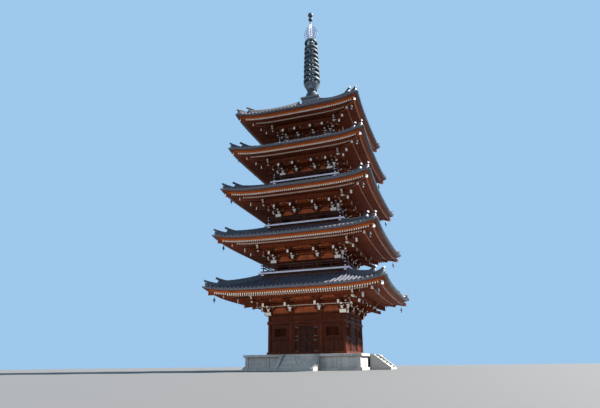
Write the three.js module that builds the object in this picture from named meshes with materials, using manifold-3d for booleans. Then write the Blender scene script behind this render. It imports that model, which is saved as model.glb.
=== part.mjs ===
// A five-storey timber pagoda on a stone podium, with tiled roofs and a bronze spire.
// Millimetres, +Z up. The origin is on the ground under the mast, and the front faces -Y.
import * as THREE from 'three';
import { mergeVertices } from 'three/addons/utils/BufferGeometryUtils.js';
import Module from 'manifold-3d';

const wasm = await Module();
wasm.setup();

// Driving dimensions
const GAP = 0.3;
// How far one joined piece is set off the next, so that their faces never lie in one plane.
const SET_OFF = 2;
const SIDES = ['front', 'right', 'back', 'left'];
const FULL_HEIGHT = 39350;

const PODIUM_TOP = 1250;
const PODIUM_HALF = 4950;
const PODIUM_INSET = 130;
const COPING_HEIGHT = 200;
const PLINTH_HEIGHT = 220;
const STEP_COUNT = 7;
const TREAD_DEPTH = 280;
const FLIGHT_WIDTH = 2600;
const CHEEK_WIDTH = 300;

const FLOOR_TOP = 1310;
const POST_RADIUS = 170;
const POST_SIDES = 8;
const SILL_TOP = 1470;
const SILL_HALF = 100;
const LINTEL_BOTTOM = 3490;
const NAGESHI_BOTTOM = 3740;
const NAGESHI_TOP = 3980;
const NAGESHI_OUT = 200;
const TIE_BOTTOM = 4150;
const TIE_TOP = 4400;
const TIE_HALF = 90;
const WALL_HALF = 60;
const WAIST_BEAM_BOTTOM = 2430;
const WAIST_BEAM_TOP = 2560;
const WAIST_BEAM_OUT = 150;
const WINDOW_BOTTOM = 2620;
const WINDOW_TOP = 3480;
const WINDOW_HALF = 600;

const JAMB_FACE = 1000;
const JAMB_HALF = 80;
const LEAF_HALF_GAP = 2.5;
const LEAF_HINGE_X = 950;
const LEAF_HALF_THICK = 30;
const LEAF_CLEARANCE = 6;
const LEAF_PIN_RADIUS = 22;

// One row a storey: half width at the post centres and at the middle posts, height of the
// corner block, and the roof's corner tip.
const STOREYS = [
  { name: 'first', body: 3270, bay: 1300, block: 4690, tip: 7644, tipZ: 6745 },
  { name: 'second', body: 2930, bay: 1170, block: 9320, tip: 7233, tipZ: 11261 },
  { name: 'third', body: 2620, bay: 1050, block: 13775, tip: 6855, tipZ: 15669 },
  { name: 'fourth', body: 2320, bay: 930, block: 18055, tip: 6464, tipZ: 19881 },
  { name: 'fifth', body: 2000, bay: 800, block: 21890, tip: 6068, tipZ: 23654 },
];
// Balcony of the storeys from the second up: half width and middle height of the white edge.
const BALCONIES = [
  null,
  { half: 4128, z: 8107, rail: 720 },
  { half: 3761, z: 12585, rail: 720 },
  { half: 3383, z: 17030, rail: 700 },
  { half: 2995, z: 21290, rail: 620 },
];
const DECK_HALF_THICK = 70;
const DECK_BEAM_INSET = 140;
const DECK_BEAM_DROP = 210;
const SKIRT_INSET = 250;
const SKIRT_DROP = 420;
const RAIL_INSET = 360;
const RAIL_LOW = 150;
const RAIL_THICK = 80;
const RAIL_POST = 70;
const RAIL_OVERHANG = 240;
const UPPER_POST_HALF = 120;

// The eaves, as set-backs from the roof tip and heights from it at mid-side. The edge rises
// towards the corners by the lift, and bows outward there by the flare.
const EAVE_POWER = 4.7;
const EAVE_STATIONS = [-1, -0.68, 0.68, 1];
const FASCIA_TOP = { back: 220, z: -590, lift: 410, flare: 100 };
const FASCIA_BOTTOM = { back: 520, z: -740, lift: 300, flare: 100 };
const FLYING_END = { back: 560, z: -860, lift: 300, flare: 100 };
const BASE_END_BACK = 1400;
const FLYING_INNER_Z = -760;
const BASE_END_Z = -900;
const INNER_LIFT = 180;
const INNER_FLARE = 60;
const RAFTER_SLOPE = 0.2126;
const BOARD_BACK = 1300;
const BOARD_Z = -480;
const BOARD_LIFT = 230;
const EAVE_SEAT_DEPTH = 300;
const TILE_LIP = { back: 30, z: -570, lift: 430, flare: 100 };
const TILE_EDGE = { back: 0, z: -430, lift: 430, flare: 100 };
const TILE_START_SLOPE = 0.25;
const TOP_TILE_START_SLOPE = 0.4;
const TILE_STEPS = 3;
const TILE_DEPTH = 250;
const RIDGE_WIDTH = 300;
const RIDGE_HEIGHT = 330;
const RIDGE_START_BACK = 160;

// Every second row of cover tiles on the two broadest roofs, as a low three-sided rib.
const RIBBED_ROOFS = 2;
const RIB_PITCH = 720;
const RIB_HALF = 90;
const RIB_HEIGHT = 92;
const RIB_SINK = 30;
const RIB_EDGE_BACK = 5;
const RIB_HIP_BACK = 60;
const RIB_LAST_SHARE = 0.97;
const RIB_SHORTEST = 0.05;

// The corner rafters, measured along each axis from the tip.
const CORNER_RAFTER_WIDTH = 220;
const FLYING_CORNER = { back: 380, bottom: -780, top: -480, slope: 0.11 };
const BASE_CORNER = { back: 1340, bottom: -930, top: -640, slope: 0.2 };

// The bracket sets, from the post centre outward and from the corner block upward.
const BRACKET_WIDTH = 180;
const BLOCK_HALF_HEIGHT = 90;
const BLOCK_REACH = 240;
const ARM_REACH = 780;
const ARM_RISE = 400;
const TAIL_REACH = 1700;
const TAIL_BOTTOM = 430;
const TAIL_TOP = 680;
const PURLIN_REACH = 1160;
const PURLIN_HALF = 90;
const PURLIN_HEIGHT = 380;
const PURLIN_SEAT = 100;
const PURLIN_OVERRUN = 500;
const PURLIN_END_CUT = 110;

// The spire
const ROOF_CROWN_Z = 26450;
const ROOF_CROWN_HALF = 1100;
const BASIN_FOOT = { half: 1180, top: 26570 };
const BASIN_BOX = { half: 900, top: 27180 };
const BASIN_SLAB = { half: 1010, top: 27400 };
const BOWL = { radius: 780, neck: 480, top: 28480 };
const LOTUS = { radius: 930, neck: 540, top: 29480 };
const MAST_RADIUS = 95;
const RING_HEIGHTS = [29800, 30470, 31140, 31720, 32300, 32890, 33540, 34080, 34890];
const RING_LOW_RADIUS = 925;
const RING_HIGH_RADIUS = 745;
const RING_HEIGHT = 150;
const RING_DEPTH = 130;
const RING_SEGMENTS = 12;
const SPOKE_THICK = 60;
const FLAME_BOTTOM = 35220;
const FLAME_TOP = 37460;
const FLAME_HALF = 745;
const FLAME_THICK = 60;
const SPINDLE_RADIUS = 70;
const WHEEL_Z = 38210;
const WHEEL_RADIUS = 250;
const JEWEL_Z = 38850;
const JEWEL_RADIUS = 290;

const paint = (color, roughness, metalness = 0) =>
  new THREE.MeshStandardMaterial({ color, roughness, metalness });
const STONE = paint(0xb9b4a8, 0.9);
const TIMBER = paint(0x7a3d22, 0.6);
const DARK_TIMBER = paint(0x55291a, 0.65);
const DOOR_TIMBER = paint(0x8a4526, 0.55);
const FASCIA_TIMBER = paint(0xa85a26, 0.6);
const WHITE_EDGE = paint(0xd6dae6, 0.6);
const TILE = paint(0x3c434d, 0.4);
const BRONZE = paint(0x6f8478, 0.5, 0.6);

// Solids and joins
function solidOf(geometry) {
  const bare = geometry.clone();
  bare.deleteAttribute('normal');
  bare.deleteAttribute('uv');
  const merged = mergeVertices(bare, 1e-3);
  return new wasm.Manifold(new wasm.Mesh({
    numProp: 3,
    vertProperties: new Float32Array(merged.attributes.position.array),
    triVerts: new Uint32Array(merged.index.array),
  }));
}

function geometryOf(solid) {
  const mesh = solid.getMesh();
  const geometry = new THREE.BufferGeometry();
  geometry.setAttribute('position', new THREE.BufferAttribute(mesh.vertProperties, 3));
  geometry.setIndex(new THREE.BufferAttribute(mesh.triVerts, 1));
  geometry.computeVertexNormals();
  return geometry;
}

const join = (solids) => solids.reduce((whole, solid) => whole.add(solid));

function box(x0, x1, y0, y1, z0, z1) {
  const geometry = new THREE.BoxGeometry(x1 - x0, y1 - y0, z1 - z0);
  geometry.translate((x0 + x1) / 2, (y0 + y1) / 2, (z0 + z1) / 2);
  return solidOf(geometry);
}

const squareBlock = (half, z0, z1) => box(-half, half, -half, half, z0, z1);

function post(x, y, radius, z0, z1, sides = POST_SIDES) {
  const geometry = new THREE.CylinderGeometry(radius, radius, z1 - z0, sides);
  geometry.rotateX(Math.PI / 2);
  geometry.translate(x, y, (z0 + z1) / 2);
  return solidOf(geometry);
}

// A point given along and outward from a side, turned to that side of the tower.
function onSide(side, along, outward) {
  return [
    [along, -outward],
    [outward, along],
    [-along, outward],
    [-outward, -along],
  ][side];
}

// A square ring swept from a profile of radius and height that runs anticlockwise. Each point
// may rise towards the corners by its lift and stand in at mid-side by its flare. A face is
// split from its wider edge's start, so that two rings on one surface split it alike.
function squareRing(profile, stations = [-1, 1]) {
  const positions = [];
  const columns = 4 * (stations.length - 1);
  const rows = profile.length;
  for (let side = 0; side < 4; side += 1) {
    for (const t of stations.slice(0, -1)) {
      for (const { r, z, lift = 0, flare = 0 } of profile) {
        const outward = r - flare * (1 - t * t);
        const rise = lift * Math.abs(t) ** EAVE_POWER;
        positions.push(...onSide(side, t * r, outward), z + rise);
      }
    }
  }
  const indices = [];
  for (let column = 0; column < columns; column += 1) {
    const next = (column + 1) % columns;
    for (let row = 0; row < rows; row += 1) {
      const above = (row + 1) % rows;
      const a = column * rows + row;
      const b = next * rows + row;
      const c = next * rows + above;
      const d = column * rows + above;
      const outwardFirst = profile[row].r >= profile[above].r;
      indices.push(...(outwardFirst ? [a, b, c, a, c, d] : [a, b, d, b, c, d]));
    }
  }
  const geometry = new THREE.BufferGeometry();
  geometry.setAttribute('position', new THREE.Float32BufferAttribute(positions, 3));
  geometry.setIndex(indices);
  return solidOf(geometry);
}

const plainRing = (inner, outer, z0, z1) => squareRing([
  { r: inner, z: z0 },
  { r: outer, z: z0 },
  { r: outer, z: z1 },
  { r: inner, z: z1 },
]);

// An upright slab cut to an outline of reach and height, standing at x, y and pointing along
// a heading: 0 is the front, a quarter turn the right.
function fin(outline, width, x, y, heading) {
  const shape = new THREE.Shape(outline.map(([reach, z]) => new THREE.Vector2(reach, z)));
  const geometry = new THREE.ExtrudeGeometry(shape, { depth: width, bevelEnabled: false });
  geometry.translate(0, 0, -width / 2);
  const out = new THREE.Vector3(Math.sin(heading), -Math.cos(heading), 0);
  const up = new THREE.Vector3(0, 0, 1);
  const across = new THREE.Vector3().crossVectors(out, up);
  const turn = new THREE.Matrix4().makeBasis(out, up, across);
  turn.setPosition(x, y, 0);
  geometry.applyMatrix4(turn);
  return solidOf(geometry);
}

function turned(points, segments = RING_SEGMENTS) {
  const outline = points.map(([r, z]) => new THREE.Vector2(r, z));
  const geometry = new THREE.LatheGeometry(outline, segments);
  geometry.rotateX(Math.PI / 2);
  return solidOf(geometry);
}

const pagoda = new THREE.Group();

function add(name, solid, material, side = 0) {
  const mesh = new THREE.Mesh(geometryOf(solid), material);
  mesh.name = name;
  mesh.rotation.z = side * Math.PI / 2;
  pagoda.add(mesh);
}

// Podium and steps
function podium() {
  const face = PODIUM_HALF - PODIUM_INSET;
  return join([
    squareBlock(PODIUM_HALF, 0, PLINTH_HEIGHT),
    squareBlock(face, PLINTH_HEIGHT, PODIUM_TOP - COPING_HEIGHT),
    squareBlock(PODIUM_HALF, PODIUM_TOP - COPING_HEIGHT, PODIUM_TOP),
  ]);
}

function flight() {
  const near = PODIUM_HALF + GAP;
  const rise = PODIUM_TOP / STEP_COUNT;
  const outline = [[near, 0]];
  const run = (STEP_COUNT - 1) * TREAD_DEPTH;
  for (let step = 1; step < STEP_COUNT; step += 1) {
    const edge = near + run - (step - 1) * TREAD_DEPTH;
    outline.push([edge, (step - 1) * rise], [edge, step * rise]);
  }
  outline.push([near, (STEP_COUNT - 1) * rise]);
  const cheek = [[near, 0], [near + run, 0], [near + run, rise], [near + TREAD_DEPTH, PODIUM_TOP],
    [near, PODIUM_TOP]];
  const offset = (FLIGHT_WIDTH + CHEEK_WIDTH) / 2;
  return join([
    fin(outline, FLIGHT_WIDTH, 0, 0, 0),
    fin(cheek, CHEEK_WIDTH, -offset, 0, 0),
    fin(cheek, CHEEK_WIDTH, offset, 0, 0),
  ]);
}

// Ground storey
const GROUND = STOREYS[0];

function postPlaces({ body, bay }) {
  const places = [];
  for (let side = 0; side < 4; side += 1) {
    for (const along of [-body, -bay, bay]) {
      places.push(onSide(side, along, body));
    }
  }
  return places;
}

function groundFrame() {
  const { body, bay, block } = GROUND;
  const foot = PODIUM_TOP + GAP;
  const head = block - BLOCK_HALF_HEIGHT - GAP;
  const pieces = postPlaces(GROUND).map(([x, y]) => post(x, y, POST_RADIUS, foot, head));
  pieces.push(plainRing(body - SILL_HALF, body + SILL_HALF, foot + SET_OFF, SILL_TOP));
  pieces.push(squareRing([
    { r: body - TIE_HALF, z: NAGESHI_BOTTOM },
    { r: body + NAGESHI_OUT, z: NAGESHI_BOTTOM },
    { r: body + NAGESHI_OUT, z: NAGESHI_TOP },
    { r: body + WALL_HALF, z: NAGESHI_TOP },
    { r: body + WALL_HALF, z: TIE_BOTTOM },
    { r: body + TIE_HALF, z: TIE_BOTTOM },
    { r: body + TIE_HALF, z: TIE_TOP },
    { r: body - TIE_HALF, z: TIE_TOP },
  ]));
  const jambOut = -body - JAMB_HALF;
  const jambIn = -body + JAMB_HALF;
  const half = bay - POST_RADIUS / 2;
  const z0 = SILL_TOP - SET_OFF;
  const z1 = NAGESHI_BOTTOM + SET_OFF;
  const opening = box(-JAMB_FACE, JAMB_FACE, jambOut - SET_OFF, jambIn + SET_OFF, 0, LINTEL_BOTTOM);
  const middle = box(-half, half, jambOut, jambIn, z0, z1).subtract(opening);
  for (let side = 0; side < 4; side += 1) {
    pieces.push(middle.rotate([0, 0, side * 90]));
  }
  return join(pieces);
}

// A side bay's wall: boards round a window, with the beam that crosses under it.
function bayWall(centre) {
  const { body, bay } = GROUND;
  const half = (body - bay) / 2 - POST_RADIUS;
  const z0 = SILL_TOP + GAP;
  const z1 = NAGESHI_BOTTOM - GAP;
  const boards = box(centre - half, centre + half, -body - WALL_HALF, -body + WALL_HALF, z0, z1);
  const window = box(centre - WINDOW_HALF, centre + WINDOW_HALF, -body - NAGESHI_OUT,
    -body + NAGESHI_OUT, WINDOW_BOTTOM, WINDOW_TOP);
  const beam = box(centre - half, centre + half, -body - WAIST_BEAM_OUT, -body,
    WAIST_BEAM_BOTTOM, WAIST_BEAM_TOP);
  return boards.add(beam).subtract(window);
}

function doorLeaf(handSign) {
  const z0 = SILL_TOP + LEAF_CLEARANCE;
  const z1 = LINTEL_BOTTOM - LEAF_CLEARANCE;
  const near = LEAF_HALF_GAP;
  const far = LEAF_HINGE_X + LEAF_HALF_THICK;
  const x0 = Math.min(handSign * near, handSign * far);
  const x1 = Math.max(handSign * near, handSign * far);
  const panel = box(x0, x1, -GROUND.body - LEAF_HALF_THICK, -GROUND.body + LEAF_HALF_THICK, z0, z1);
  const pin = post(handSign * LEAF_HINGE_X, -GROUND.body, LEAF_PIN_RADIUS,
    SILL_TOP + GAP, LINTEL_BOTTOM - GAP);
  return panel.add(pin);
}

function closedDoorPair() {
  const y = -GROUND.body;
  const half = JAMB_FACE - GAP;
  const pair = box(-half, half, y - LEAF_HALF_THICK, y + LEAF_HALF_THICK,
    SILL_TOP + GAP, LINTEL_BOTTOM - GAP);
  const joint = box(-LEAF_HALF_GAP * 2, LEAF_HALF_GAP * 2, y - LEAF_HALF_THICK - 1,
    y - LEAF_HALF_THICK / 2, SILL_TOP, LINTEL_BOTTOM);
  return pair.subtract(joint);
}

// Upper storeys
function upperFloor(level) {
  const { half, z } = BALCONIES[level];
  const { body } = STOREYS[level];
  const lower = STOREYS[level - 1];
  const seat = eaveHeights(lower);
  const inner = body + 100;
  const outer = body + 300;
  const skirt = half - SKIRT_INSET;
  const deckBottom = z - DECK_HALF_THICK;
  return join([
    squareBlock(half, deckBottom, z + DECK_HALF_THICK),
    plainRing(inner, half - DECK_BEAM_INSET, z - DECK_BEAM_DROP, deckBottom),
    plainRing(inner, skirt, z - SKIRT_DROP + GAP, z - DECK_BEAM_DROP),
    plainRing(inner, outer, seat.top + GAP, z - SKIRT_DROP + GAP),
  ]);
}

function railing(level) {
  const { half, z, rail } = BALCONIES[level];
  const line = half - RAIL_INSET;
  const reach = line + RAIL_OVERHANG;
  const t = RAIL_THICK / 2;
  const p = RAIL_POST / 2;
  const foot = z + DECK_HALF_THICK + GAP;
  const sideRails = (side) => {
    const half = side % 2 === 0 ? t : t - SET_OFF;
    const rails = [RAIL_LOW, rail].map((height) =>
      box(-reach, reach, -line - t, -line + t, z + height - half, z + height + half));
    const posts = [-line, 0].map((along) =>
      box(along - p, along + p, -line - p, -line + p, foot, z + rail));
    return join([...rails, ...posts]).rotate([0, 0, side * 90]);
  };
  return join([0, 1, 2, 3].map(sideRails));
}

function upperWalls(level) {
  const storey = STOREYS[level];
  const { body, bay, block } = storey;
  const foot = BALCONIES[level].z + DECK_HALF_THICK + GAP;
  const head = block - BLOCK_HALF_HEIGHT - GAP;
  const height = head - foot;
  const windowHalf = (body - bay) / 2 - UPPER_POST_HALF - 100;
  const centre = (body + bay) / 2;
  const doorHalf = bay - UPPER_POST_HALF - 120;
  const y0 = -body - NAGESHI_OUT;
  const y1 = -body + NAGESHI_OUT;
  const low = foot + height * 0.3;
  const high = foot + height * 0.78;
  const recess = -body - WALL_HALF / 3;
  const cut = join([
    box(-centre - windowHalf, -centre + windowHalf, y0, y1, low, high),
    box(centre - windowHalf, centre + windowHalf, y0, y1, low, high),
    box(-doorHalf, doorHalf, y0, recess, foot + height * 0.12, high),
  ]);
  let walls = plainRing(body - WALL_HALF, body + WALL_HALF, foot, head);
  for (let side = 0; side < 4; side += 1) {
    walls = walls.subtract(cut.rotate([0, 0, side * 90]));
  }
  const posts = postPlaces(storey).map(([x, y]) => box(x - UPPER_POST_HALF, x + UPPER_POST_HALF,
    y - UPPER_POST_HALF, y + UPPER_POST_HALF, foot + SET_OFF, head - SET_OFF));
  return join([walls, ...posts]);
}

// Heights of the rafters' underside at the purlin and at the wall, and of the seat above it.
function eaveHeights({ body, tip, tipZ }) {
  const purlinOuter = body + PURLIN_REACH + PURLIN_SEAT;
  const purlinInner = body + PURLIN_REACH - PURLIN_SEAT;
  const wallFace = body + 80;
  const purlin = tipZ + BASE_END_Z + (tip - BASE_END_BACK - purlinOuter) * RAFTER_SLOPE;
  const wall = purlin + (purlinInner - wallFace) * RAFTER_SLOPE;
  return { purlin, wall, purlinOuter, purlinInner, wallFace, top: wall + EAVE_SEAT_DEPTH };
}

// One bracket set seen from its side: it steps out to the purlin's seat, with the tail below it.
function bracketArm(storey) {
  const { block } = storey;
  const purlinFoot = eaveHeights(storey).purlin - PURLIN_HEIGHT - GAP;
  const outer = PURLIN_REACH + PURLIN_HALF;
  const foot = block - BLOCK_HALF_HEIGHT + SET_OFF;
  return [
    [0, foot],
    [BLOCK_REACH, foot],
    [ARM_REACH, block + ARM_RISE],
    [TAIL_REACH, block + TAIL_BOTTOM],
    [TAIL_REACH, block + TAIL_TOP],
    [outer, purlinFoot],
    [0, purlinFoot],
  ];
}

function brackets(storey) {
  const { body, bay, block } = storey;
  const arm = bracketArm(storey);
  const diagonal = arm.map(([reach, z]) => [reach * Math.SQRT2, z]);
  const head = eaveHeights(storey).wall - GAP;
  const pieces = [
    plainRing(body - WALL_HALF, body + WALL_HALF, block - BLOCK_HALF_HEIGHT, head),
  ];
  for (let side = 0; side < 4; side += 1) {
    const heading = side * Math.PI / 2;
    for (const along of [-bay, bay]) {
      const [x, y] = onSide(side, along, body);
      pieces.push(fin(arm, BRACKET_WIDTH, x, y, heading));
    }
    const [x, y] = onSide(side, body, body);
    pieces.push(fin(diagonal, BRACKET_WIDTH, x, y, heading + Math.PI / 4));
  }
  return join(pieces);
}

// The purlins under the rafters. Their ends cross at the corners and run on past them, cut lower
// there to pass under the sloping rafters.
function purlins(storey) {
  const { purlin } = eaveHeights(storey);
  const line = storey.body + PURLIN_REACH;
  const end = line + PURLIN_OVERRUN;
  const bottom = purlin - PURLIN_HEIGHT;
  const pieces = [plainRing(line - PURLIN_HALF, line + PURLIN_HALF, bottom, purlin - GAP)];
  for (let side = 0; side < 4; side += 1) {
    const offset = (side % 2 + 1) * SET_OFF;
    pieces.push(box(-end, end, -line - PURLIN_HALF + offset, -line + PURLIN_HALF - offset,
      bottom + offset, purlin - PURLIN_END_CUT - offset).rotate([0, 0, side * 90]));
  }
  return join(pieces);
}

// Rafters, boards and fascia of one roof, as one ring with the corner rafters under it.
function eaves(level) {
  const storey = STOREYS[level];
  const { body, tip, tipZ } = storey;
  const next = STOREYS[level + 1];
  const inner = next ? next.body + 100 : body - 100;
  const { purlin, wall, purlinOuter, purlinInner, wallFace, top } = eaveHeights(storey);
  const edge = ({ back, z, lift, flare }) => ({ r: tip - back, z: tipZ + z, lift, flare });
  const row = (z) => ({ r: tip - BASE_END_BACK, z: tipZ + z, lift: INNER_LIFT, flare: INNER_FLARE });
  const ring = squareRing([
    { r: inner, z: wall },
    { r: wallFace, z: wall },
    { r: purlinInner, z: purlin },
    { r: purlinOuter, z: purlin },
    row(BASE_END_Z),
    row(FLYING_INNER_Z),
    edge(FLYING_END),
    edge(FASCIA_BOTTOM),
    edge(FASCIA_TOP),
    { r: tip - BOARD_BACK, z: tipZ + BOARD_Z, lift: BOARD_LIFT, flare: INNER_FLARE },
    { r: body + 130, z: top },
    { r: inner, z: top },
  ], EAVE_STATIONS);
  const rafter = ({ back, bottom, top: upper, slope }, run) => {
    const near = (tip - back - run) * Math.SQRT2;
    const far = (tip - back) * Math.SQRT2;
    return [
      [near, tipZ + bottom + run * slope],
      [far, tipZ + bottom],
      [far, tipZ + upper],
      [near, tipZ + upper + run * slope],
    ];
  };
  const flying = rafter(FLYING_CORNER, BASE_END_BACK - FLYING_CORNER.back + 200);
  const base = rafter(BASE_CORNER, tip - BASE_CORNER.back - purlinOuter);
  const pieces = [ring];
  for (let side = 0; side < 4; side += 1) {
    const heading = (side + 0.5) * Math.PI / 2;
    pieces.push(fin(flying, CORNER_RAFTER_WIDTH, 0, 0, heading));
    pieces.push(fin(base, CORNER_RAFTER_WIDTH, 0, 0, heading));
  }
  return join(pieces);
}

// The tiled surface: a shell that rises from the eaves to the next storey's skirt.
function roofLine(level) {
  const { tip, tipZ } = STOREYS[level];
  const next = BALCONIES[level + 1];
  const crownHalf = next ? next.half - SKIRT_INSET : ROOF_CROWN_HALF;
  const crownZ = next ? next.z - SKIRT_DROP : ROOF_CROWN_Z;
  const slope = next ? TILE_START_SLOPE : TOP_TILE_START_SLOPE;
  const start = tip - TILE_EDGE.back;
  const run = start - crownHalf;
  const rise = crownZ - tipZ - TILE_EDGE.z;
  const bend = (rise - slope * run) / run ** 2;
  const at = (share) => {
    const x = share * run;
    return {
      r: start - x,
      z: tipZ + TILE_EDGE.z + slope * x + bend * x * x,
      lift: TILE_EDGE.lift * (1 - share) ** 2,
      flare: TILE_EDGE.flare * (1 - share),
    };
  };
  return { at, crownHalf, crownZ };
}

// A row of the tiled surface at a place along a side, on the facets between the stations.
function onFacet({ r, z, lift, flare }, along) {
  const flat = EAVE_STATIONS[2];
  const share = Math.max(Math.abs(along) / r - flat, 0) / (1 - flat);
  const level = flat ** EAVE_POWER;
  return {
    outward: r - flare * (1 - flat ** 2) * (1 - share),
    z: z + lift * (level + (1 - level) * share),
  };
}

// One row of cover tiles, from the eave up to the hip or close to the next storey's skirt.
function tileRib({ at, crownZ }, along, last) {
  const shares = [0];
  for (let step = 1; step / TILE_STEPS < last - RIB_SHORTEST; step += 1) {
    shares.push(step / TILE_STEPS);
  }
  shares.push(last);
  const positions = [];
  for (const share of shares) {
    const { outward, z } = onFacet(at(share), along);
    const y = share === 0 ? RIB_EDGE_BACK - outward : -outward;
    const foot = z - RIB_SINK;
    positions.push(along - RIB_HALF, y, foot, along + RIB_HALF, y, foot);
    positions.push(along, y, Math.min(z + RIB_HEIGHT, crownZ - GAP));
  }
  const corners = 3;
  const end = (shares.length - 1) * corners;
  const indices = [0, 1, 2, end + 2, end + 1, end];
  for (let ring = 0; ring < end; ring += corners) {
    for (let corner = 0; corner < corners; corner += 1) {
      const after = (corner + 1) % corners;
      const [a, b] = [ring + corner, ring + corners + corner];
      const [c, d] = [ring + corners + after, ring + after];
      indices.push(a, b, c, a, c, d);
    }
  }
  const geometry = new THREE.BufferGeometry();
  geometry.setAttribute('position', new THREE.Float32BufferAttribute(positions, 3));
  geometry.setIndex(indices);
  return solidOf(geometry);
}

function tileRibs(level) {
  const { tip } = STOREYS[level];
  const line = roofLine(level);
  const run = tip - line.crownHalf;
  const ribs = [];
  for (let row = -Math.floor(tip / RIB_PITCH); row * RIB_PITCH < tip; row += 1) {
    const along = row * RIB_PITCH;
    const last = Math.min((tip - Math.abs(along) - RIB_HIP_BACK) / run, RIB_LAST_SHARE);
    if (last > RIB_SHORTEST) {
      ribs.push(tileRib(line, along, last));
    }
  }
  const sides = [0, 1, 2, 3];
  return sides.flatMap((side) => ribs.map((rib) => rib.rotate([0, 0, side * 90])));
}

function roof(level) {
  const { tip, tipZ } = STOREYS[level];
  const { at, crownHalf, crownZ } = roofLine(level);
  const inner = crownHalf - 300;
  const surface = [];
  for (let step = 0; step <= TILE_STEPS; step += 1) {
    surface.push(at(step / TILE_STEPS));
  }
  const shell = squareRing([
    { r: inner, z: crownZ - TILE_DEPTH },
    { r: crownHalf, z: crownZ - TILE_DEPTH },
    {
      r: tip - BOARD_BACK,
      z: tipZ + BOARD_Z + GAP,
      lift: BOARD_LIFT,
      flare: INNER_FLARE,
    },
    {
      r: tip - FASCIA_TOP.back,
      z: tipZ + FASCIA_TOP.z + GAP,
      lift: FASCIA_TOP.lift,
      flare: FASCIA_TOP.flare,
    },
    { r: tip - TILE_LIP.back, z: tipZ + TILE_LIP.z, lift: TILE_LIP.lift, flare: TILE_LIP.flare },
    ...surface,
    { r: inner, z: crownZ },
  ], EAVE_STATIONS);
  const upper = [];
  const lower = [];
  for (let step = 0; step <= TILE_STEPS; step += 1) {
    const start = RIDGE_START_BACK / (tip - crownHalf);
    const share = start + (1 - start) * step / TILE_STEPS;
    const { r, z, lift } = at(share);
    upper.push([r * Math.SQRT2, Math.min(z + lift + RIDGE_HEIGHT, crownZ - GAP)]);
    lower.push([r * Math.SQRT2, z + lift - TILE_DEPTH / 3]);
  }
  const outline = [...lower.reverse(), ...upper];
  const ridges = [0.5, 1.5, 2.5, 3.5].map((turn) =>
    fin(outline, RIDGE_WIDTH, 0, 0, turn * Math.PI / 2));
  const ribs = level < RIBBED_ROOFS ? tileRibs(level) : [];
  return join([shell, ...ridges, ...ribs]);
}

// Spire
function dewBasin() {
  return join([
    squareBlock(BASIN_FOOT.half, ROOF_CROWN_Z + GAP, BASIN_FOOT.top),
    squareBlock(BASIN_BOX.half, BASIN_FOOT.top, BASIN_BOX.top),
    squareBlock(BASIN_SLAB.half, BASIN_BOX.top, BASIN_SLAB.top),
  ]);
}

function bowlAndLotus() {
  const foot = BASIN_SLAB.top + GAP;
  const rise = BOWL.top - foot;
  return turned([
    [0, foot],
    [BOWL.radius, foot],
    [BOWL.radius * 0.97, foot + rise * 0.4],
    [BOWL.radius * 0.84, foot + rise * 0.8],
    [BOWL.neck, BOWL.top],
    [LOTUS.neck, BOWL.top + 80],
    [LOTUS.radius * 0.86, BOWL.top + 400],
    [LOTUS.radius, LOTUS.top - 120],
    [LOTUS.radius, LOTUS.top],
    [0, LOTUS.top],
  ]);
}

function nineRings() {
  const pieces = [post(0, 0, MAST_RADIUS, LOTUS.top + GAP, FLAME_BOTTOM - GAP)];
  RING_HEIGHTS.forEach((z, index) => {
    const share = index / (RING_HEIGHTS.length - 1);
    const radius = RING_LOW_RADIUS + (RING_HIGH_RADIUS - RING_LOW_RADIUS) * share;
    const low = z - RING_HEIGHT / 2;
    const high = z + RING_HEIGHT / 2;
    const rim = radius - RING_DEPTH;
    pieces.push(turned([[rim, low], [radius, low], [radius, high], [rim, high], [rim, low]]));
    const t = SPOKE_THICK / 2;
    const reach = rim + RING_DEPTH / 2;
    const alongX = index % 2 === 0;
    pieces.push(alongX ? box(-reach, reach, -t, t, z - t, z + t)
      : box(-t, t, -reach, reach, z - t, z + t));
  });
  return join(pieces);
}

function waterFlame() {
  const rise = FLAME_TOP - FLAME_BOTTOM;
  const outline = [[0, 0.02], [0.35, 0.06], [0.8, 0.2], [1, 0.45], [0.8, 0.75], [0.4, 0.93], [0, 0.98]]
    .map(([reach, share]) => [reach * FLAME_HALF, FLAME_BOTTOM + share * rise]);
  const pieces = [post(0, 0, SPINDLE_RADIUS, FLAME_BOTTOM, FLAME_TOP)];
  for (let turn = 0; turn < 4; turn += 1) {
    pieces.push(fin(outline, FLAME_THICK, 0, 0, turn * Math.PI / 2));
  }
  return join(pieces);
}

function jewelFinial() {
  const foot = FLAME_TOP + GAP;
  return turned([
    [0, foot],
    [SPINDLE_RADIUS, foot],
    [SPINDLE_RADIUS, WHEEL_Z - WHEEL_RADIUS],
    [WHEEL_RADIUS, WHEEL_Z - 70],
    [WHEEL_RADIUS, WHEEL_Z + 70],
    [SPINDLE_RADIUS, WHEEL_Z + WHEEL_RADIUS * 0.8],
    [SPINDLE_RADIUS * 1.4, JEWEL_Z - JEWEL_RADIUS * 0.9],
    [JEWEL_RADIUS, JEWEL_Z - 60],
    [JEWEL_RADIUS * 0.85, JEWEL_Z + 120],
    [SPINDLE_RADIUS, JEWEL_Z + JEWEL_RADIUS],
    [0, FULL_HEIGHT],
  ]);
}

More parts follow.
